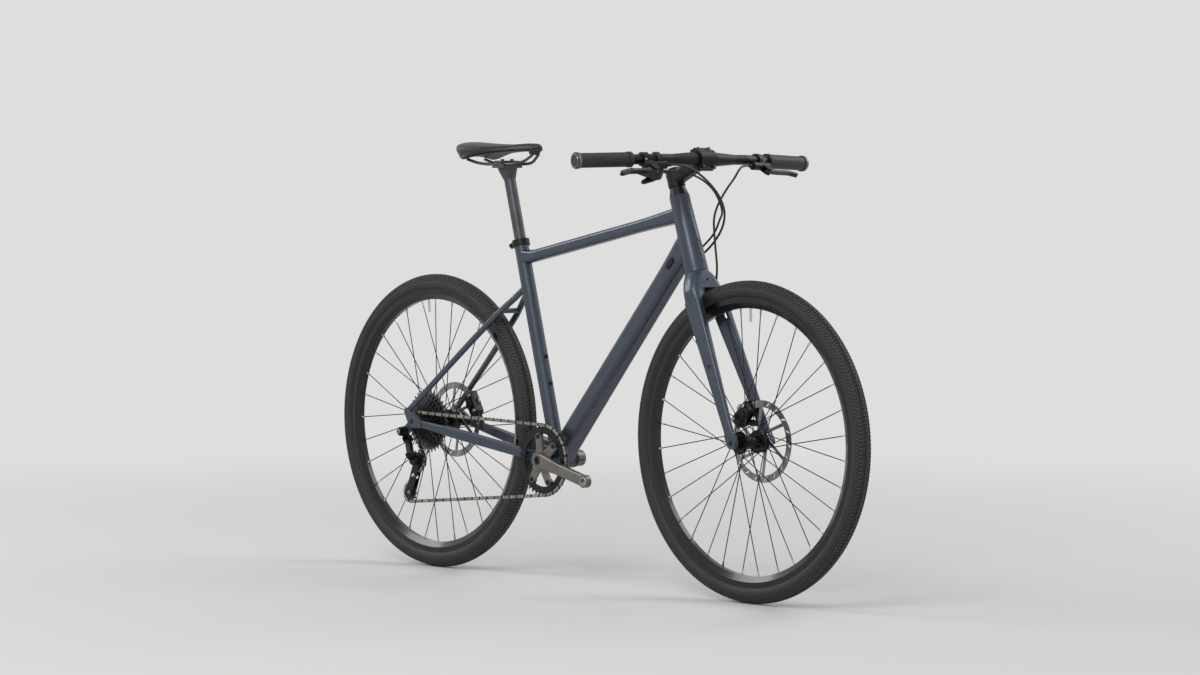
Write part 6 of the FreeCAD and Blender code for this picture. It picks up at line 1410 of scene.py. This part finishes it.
@dataclass(frozen=True)
class CaliperTrim:
    """Screws, piston cap and pad tabs of one brake caliper.

    They are modelled with X away from the axle, Y to the left and Z along the rotor's edge.

    Attributes:
        name: The wheel it brakes.
        body: The body it rides on.
        axle: Middle of the wheel.
        line: Distance of the rotor from the middle.
        radial: Direction from the axle to the caliper.
        reach: Distance of the caliper's middle from the axle.
        inboard: Distance of its inner face from the rotor.
        screw: Radius and height of a screw's head.
        screw_out: Distance of the screws from the caliper's middle, away from the axle.
        screw_spread: Distance of each screw from the caliper's middle, along the rotor's edge.
        cap_radius: Radius of the piston's cap.
        cap_length: Length of the cap.
        cap_in: Distance of the cap from the caliper's middle, towards the axle.
        cap_out: How far the cap's middle stands out of the inner face.
        cap_steps: Width and rise of the cap's chamfer, rim and hollow.
        tab_size: Size of a pad's tab.
        tab_middle: Middle of the left pad's tab.
        tab_tip: Length of the tab's narrow tip.
        tab_taper: Width of the tip, as a share of the tab's.
        tab_bevel: Width of its broken edges.
    """

    name: str
    body: Body
    axle: Vector
    line: float
    radial: Point
    reach: float = 79 * MM
    inboard: float = 11.5 * MM
    screw: tuple[float, float] = (4.2 * MM, 3.5 * MM)
    screw_out: float = 7 * MM
    screw_spread: float = 20 * MM
    cap_radius: float = 10.5 * MM
    cap_length: float = 3 * MM
    cap_in: float = 3 * MM
    cap_out: float = 1 * MM
    cap_steps: Table = ((1 * MM, 0.8 * MM), (2.5 * MM, 0.0), (0.6 * MM, -0.9 * MM))
    tab_size: Point = (9 * MM, 1.4 * MM, 16 * MM)
    tab_middle: Point = (19 * MM, 1.7 * MM, 0)
    tab_tip: float = 2 * MM
    tab_taper: float = 0.6
    tab_bevel: float = 0.3 * MM

    def place(self) -> Matrix:
        """Find the place of the caliper.

        Returns:
            Its middle and its directions.
        """
        out = Vector(self.radial)
        turn = Matrix((out, LEFT, out.cross(LEFT))).transposed().to_4x4()
        return Matrix.Translation(self.axle + LEFT * self.line + out * self.reach) @ turn

    def screws(self) -> bpy.types.Object:
        """Model the two screws on the inner face.

        Returns:
            Both screws.
        """
        spots = [Matrix.Translation((self.screw_out, -self.inboard, way * self.screw_spread))
                 for way in (1, -1)]
        return copies_joined(socket_head(*self.screw), spots)

    def cap(self) -> bpy.types.Object:
        """Model the cap over the inner piston.

        Returns:
            The cap.
        """
        cap = cylinder(self.cap_radius, self.cap_length, 36, (-self.cap_in, -self.inboard - self.cap_out, 0))
        with editing(cap, looking(RIGHT)):
            step_in(self.cap_steps)
        return cap

    def tabs(self) -> bpy.types.Object:
        """Model the two pad tabs that stand out of the caliper.

        Returns:
            Both tabs.
        """
        tab = block(self.tab_size, self.tab_middle)
        with editing(tab, looking(AHEAD)):
            bpy.ops.mesh.extrude_region_move(TRANSFORM_OT_translate={"value": AHEAD * self.tab_tip})
            bpy.ops.transform.resize(value=(1, 1, self.tab_taper))
            bpy.ops.mesh.select_all(action="SELECT")
            bpy.ops.mesh.bevel(offset=self.tab_bevel, segments=1, affect="EDGES")
        return copies_joined(tab, [Matrix.Identity(4), Matrix.Translation(RIGHT * (2 * self.tab_middle[1]))])

    def build(self) -> None:
        """Model the trim and set it on the caliper."""
        bright = joined([self.screws(), self.tabs()])
        for piece, part, finish, slot in ((bright, "screws", BOLT_STEEL, Slot.BRIGHT_STEEL),
                                          (self.cap(), "piston_cap", BLACK_METAL, Slot.BLACK_ALUMINIUM)):
            piece.matrix_world = self.place() @ piece.matrix_world
            settle(piece, "%s_caliper_%s" % (self.name, part), finish, self.body)


CALIPERS = (
    CaliperTrim("front", Body.STEERING, FRONT_AXLE, 34.7 * MM, (-0.69466, 0.0, 0.71934)),
    CaliperTrim("rear", Body.FRAME, REAR_AXLE, 55.7 * MM, (0.86603, 0.0, 0.5)),
)


def aim(thing: bpy.types.Object, target: Point) -> None:
    """Turn a camera or lamp towards a place."""
    thing.rotation_euler = (Vector(target) - thing.location).to_track_quat("-Z", "Y").to_euler()


@dataclass
class Studio:
    """Floor, lamps and camera.

    Attributes:
        camera_place: Where the camera stands.
        camera_target: What it looks at.
        film: Width of its film, in millimetres.
        lens: Its focal length, in millimetres.
        view_depth: How far it sees.
        lamps: Place, size and power of each lamp.
        lamp_target: What the lamps shine at.
        floor_size: Length of the floor's sides.
        floor_colour: Colour of the floor, sRGB.
        floor_roughness: Roughness of the floor.
        floor_shine: Level of the floor's reflections.
        fade: Distances between which the floor fades into the backdrop.
        back_colour: Colour of the far floor and the backdrop, sRGB.
        room_colour: Colour of the room's light, sRGB.
        room_heights: Heights of the direction between which the room's light grows.
        room_light: Strength of the room's light at those heights.
    """

    camera_place: Point = (5.8840, -5.2749, 0.8506)
    camera_target: Point = (0.0209, 0.0231, 0.5640)
    film: float = 36.0
    lens: float = 103.96
    view_depth: float = 100.0
    lamps: tuple[tuple[Point, float, float], ...] = (
        ((2.5, -5.0, 4.5), 3.0, 165), ((-4.0, -2.5, 3.0), 2.0, 75), ((1.5, 4.5, 4.0), 3.0, 95))
    lamp_target: Point = (0, 0, 0.5)
    floor_size: float = 80.0
    floor_colour: str = "#d9d8d6"
    floor_roughness: float = 0.85
    floor_shine: float = 0.2
    fade: tuple[float, float] = (1.2, 4.5)
    back_colour: str = "#dededd"
    room_colour: str = "#f2f3f5"
    room_heights: tuple[float, float] = (-0.2, 0.8)
    room_light: tuple[float, float] = (0.286, 0.598)

    def build(self) -> None:
        """Make the stage."""
        self.add_camera()
        self.add_floor()
        self.add_lamps()
        self.add_room()
        bpy.context.scene.view_settings.view_transform = "Standard"

    def add_camera(self) -> None:
        """Stand the camera where the photograph was taken from."""
        bpy.ops.object.camera_add(location=self.camera_place)
        camera = bpy.context.object
        aim(camera, self.camera_target)
        camera.data.sensor_width = self.film
        camera.data.lens = self.lens
        camera.data.clip_end = self.view_depth
        bpy.context.scene.camera = camera

    def add_floor(self) -> None:
        """Lay a wide pale floor that fades into the backdrop."""
        fresh()
        bpy.ops.mesh.primitive_plane_add(size=self.floor_size)
        floor = bpy.context.object
        floor.name = "studio_floor"
        material = bpy.data.materials.new("painted_floor")
        material.use_nodes = True
        tree = material.node_tree
        paint = tree.nodes["Principled BSDF"]
        set_inputs(tree, paint, {"Base Color": linear(self.floor_colour), "Roughness": self.floor_roughness,
                                 "Specular IOR Level": self.floor_shine})
        place = add_node(tree, "TexCoord").outputs["Object"]
        far = add_node(tree, "VectorMath", {0: place}, operation="LENGTH").outputs["Value"]
        near_edge, far_edge = self.fade
        fade = add_node(tree, "MapRange", {"Value": far, "From Min": near_edge, "From Max": far_edge},
                        interpolation_type="SMOOTHSTEP").outputs["Result"]
        glow = add_node(tree, "Emission", {"Color": linear(self.back_colour), "Strength": 1.0}).outputs[0]
        mixed = add_node(tree, "MixShader", {0: fade, 1: paint.outputs[0], 2: glow}).outputs[0]
        set_inputs(tree, tree.nodes["Material Output"], {"Surface": mixed})
        floor.data.materials.append(material)

    def add_lamps(self) -> None:
        """Light the bicycle with large soft lamps."""
        for place, size, watts in self.lamps:
            bpy.ops.object.light_add(type="AREA", location=place)
            lamp = bpy.context.object
            lamp.data.energy = watts
            lamp.data.size = size
            aim(lamp, self.lamp_target)

    def add_room(self) -> None:
        """Light from the room, brighter overhead, and the backdrop that the camera and metal see."""
        world = bpy.data.worlds.new("studio_room")
        world.use_nodes = True
        tree = world.node_tree
        way = add_node(tree, "TexCoord").outputs["Generated"]
        height = add_node(tree, "SeparateXYZ", {0: way}).outputs["Z"]
        (low, high), (dim, bright) = self.room_heights, self.room_light
        strength = add_node(tree, "MapRange", {"Value": height, "From Min": low, "From Max": high,
                                               "To Min": dim, "To Max": bright}).outputs["Result"]
        light = tree.nodes["Background"]
        set_inputs(tree, light, {"Color": linear(self.room_colour), "Strength": strength})
        back = add_node(tree, "Background", {"Color": linear(self.back_colour), "Strength": 1.0})
        rays = add_node(tree, "LightPath").outputs
        seen = rays["Is Camera Ray"]
        for kind in ("Is Glossy Ray", "Is Transmission Ray"):
            seen = add_node(tree, "Math", {0: seen, 1: rays[kind]}, operation="MAXIMUM").outputs[0]
        mixed = add_node(tree, "MixShader", {0: seen, 1: light.outputs[0], 2: back.outputs[0]}).outputs[0]
        set_inputs(tree, tree.nodes["World Output"], {"Surface": mixed})
        bpy.context.scene.world = world


def main() -> None:
    """Build the stage and dress the bicycle."""
    logging.basicConfig(level=logging.INFO, format="%(message)s")
    Studio().build()
    paint_nodes()
    for part in (*HOSES, Tyre(), Chain(), Saddle(), PedalEyes(), BarTrim(), *CALIPERS, *SIDE_BOLTS):
        part.build()


if __name__ == "__main__":
    main()
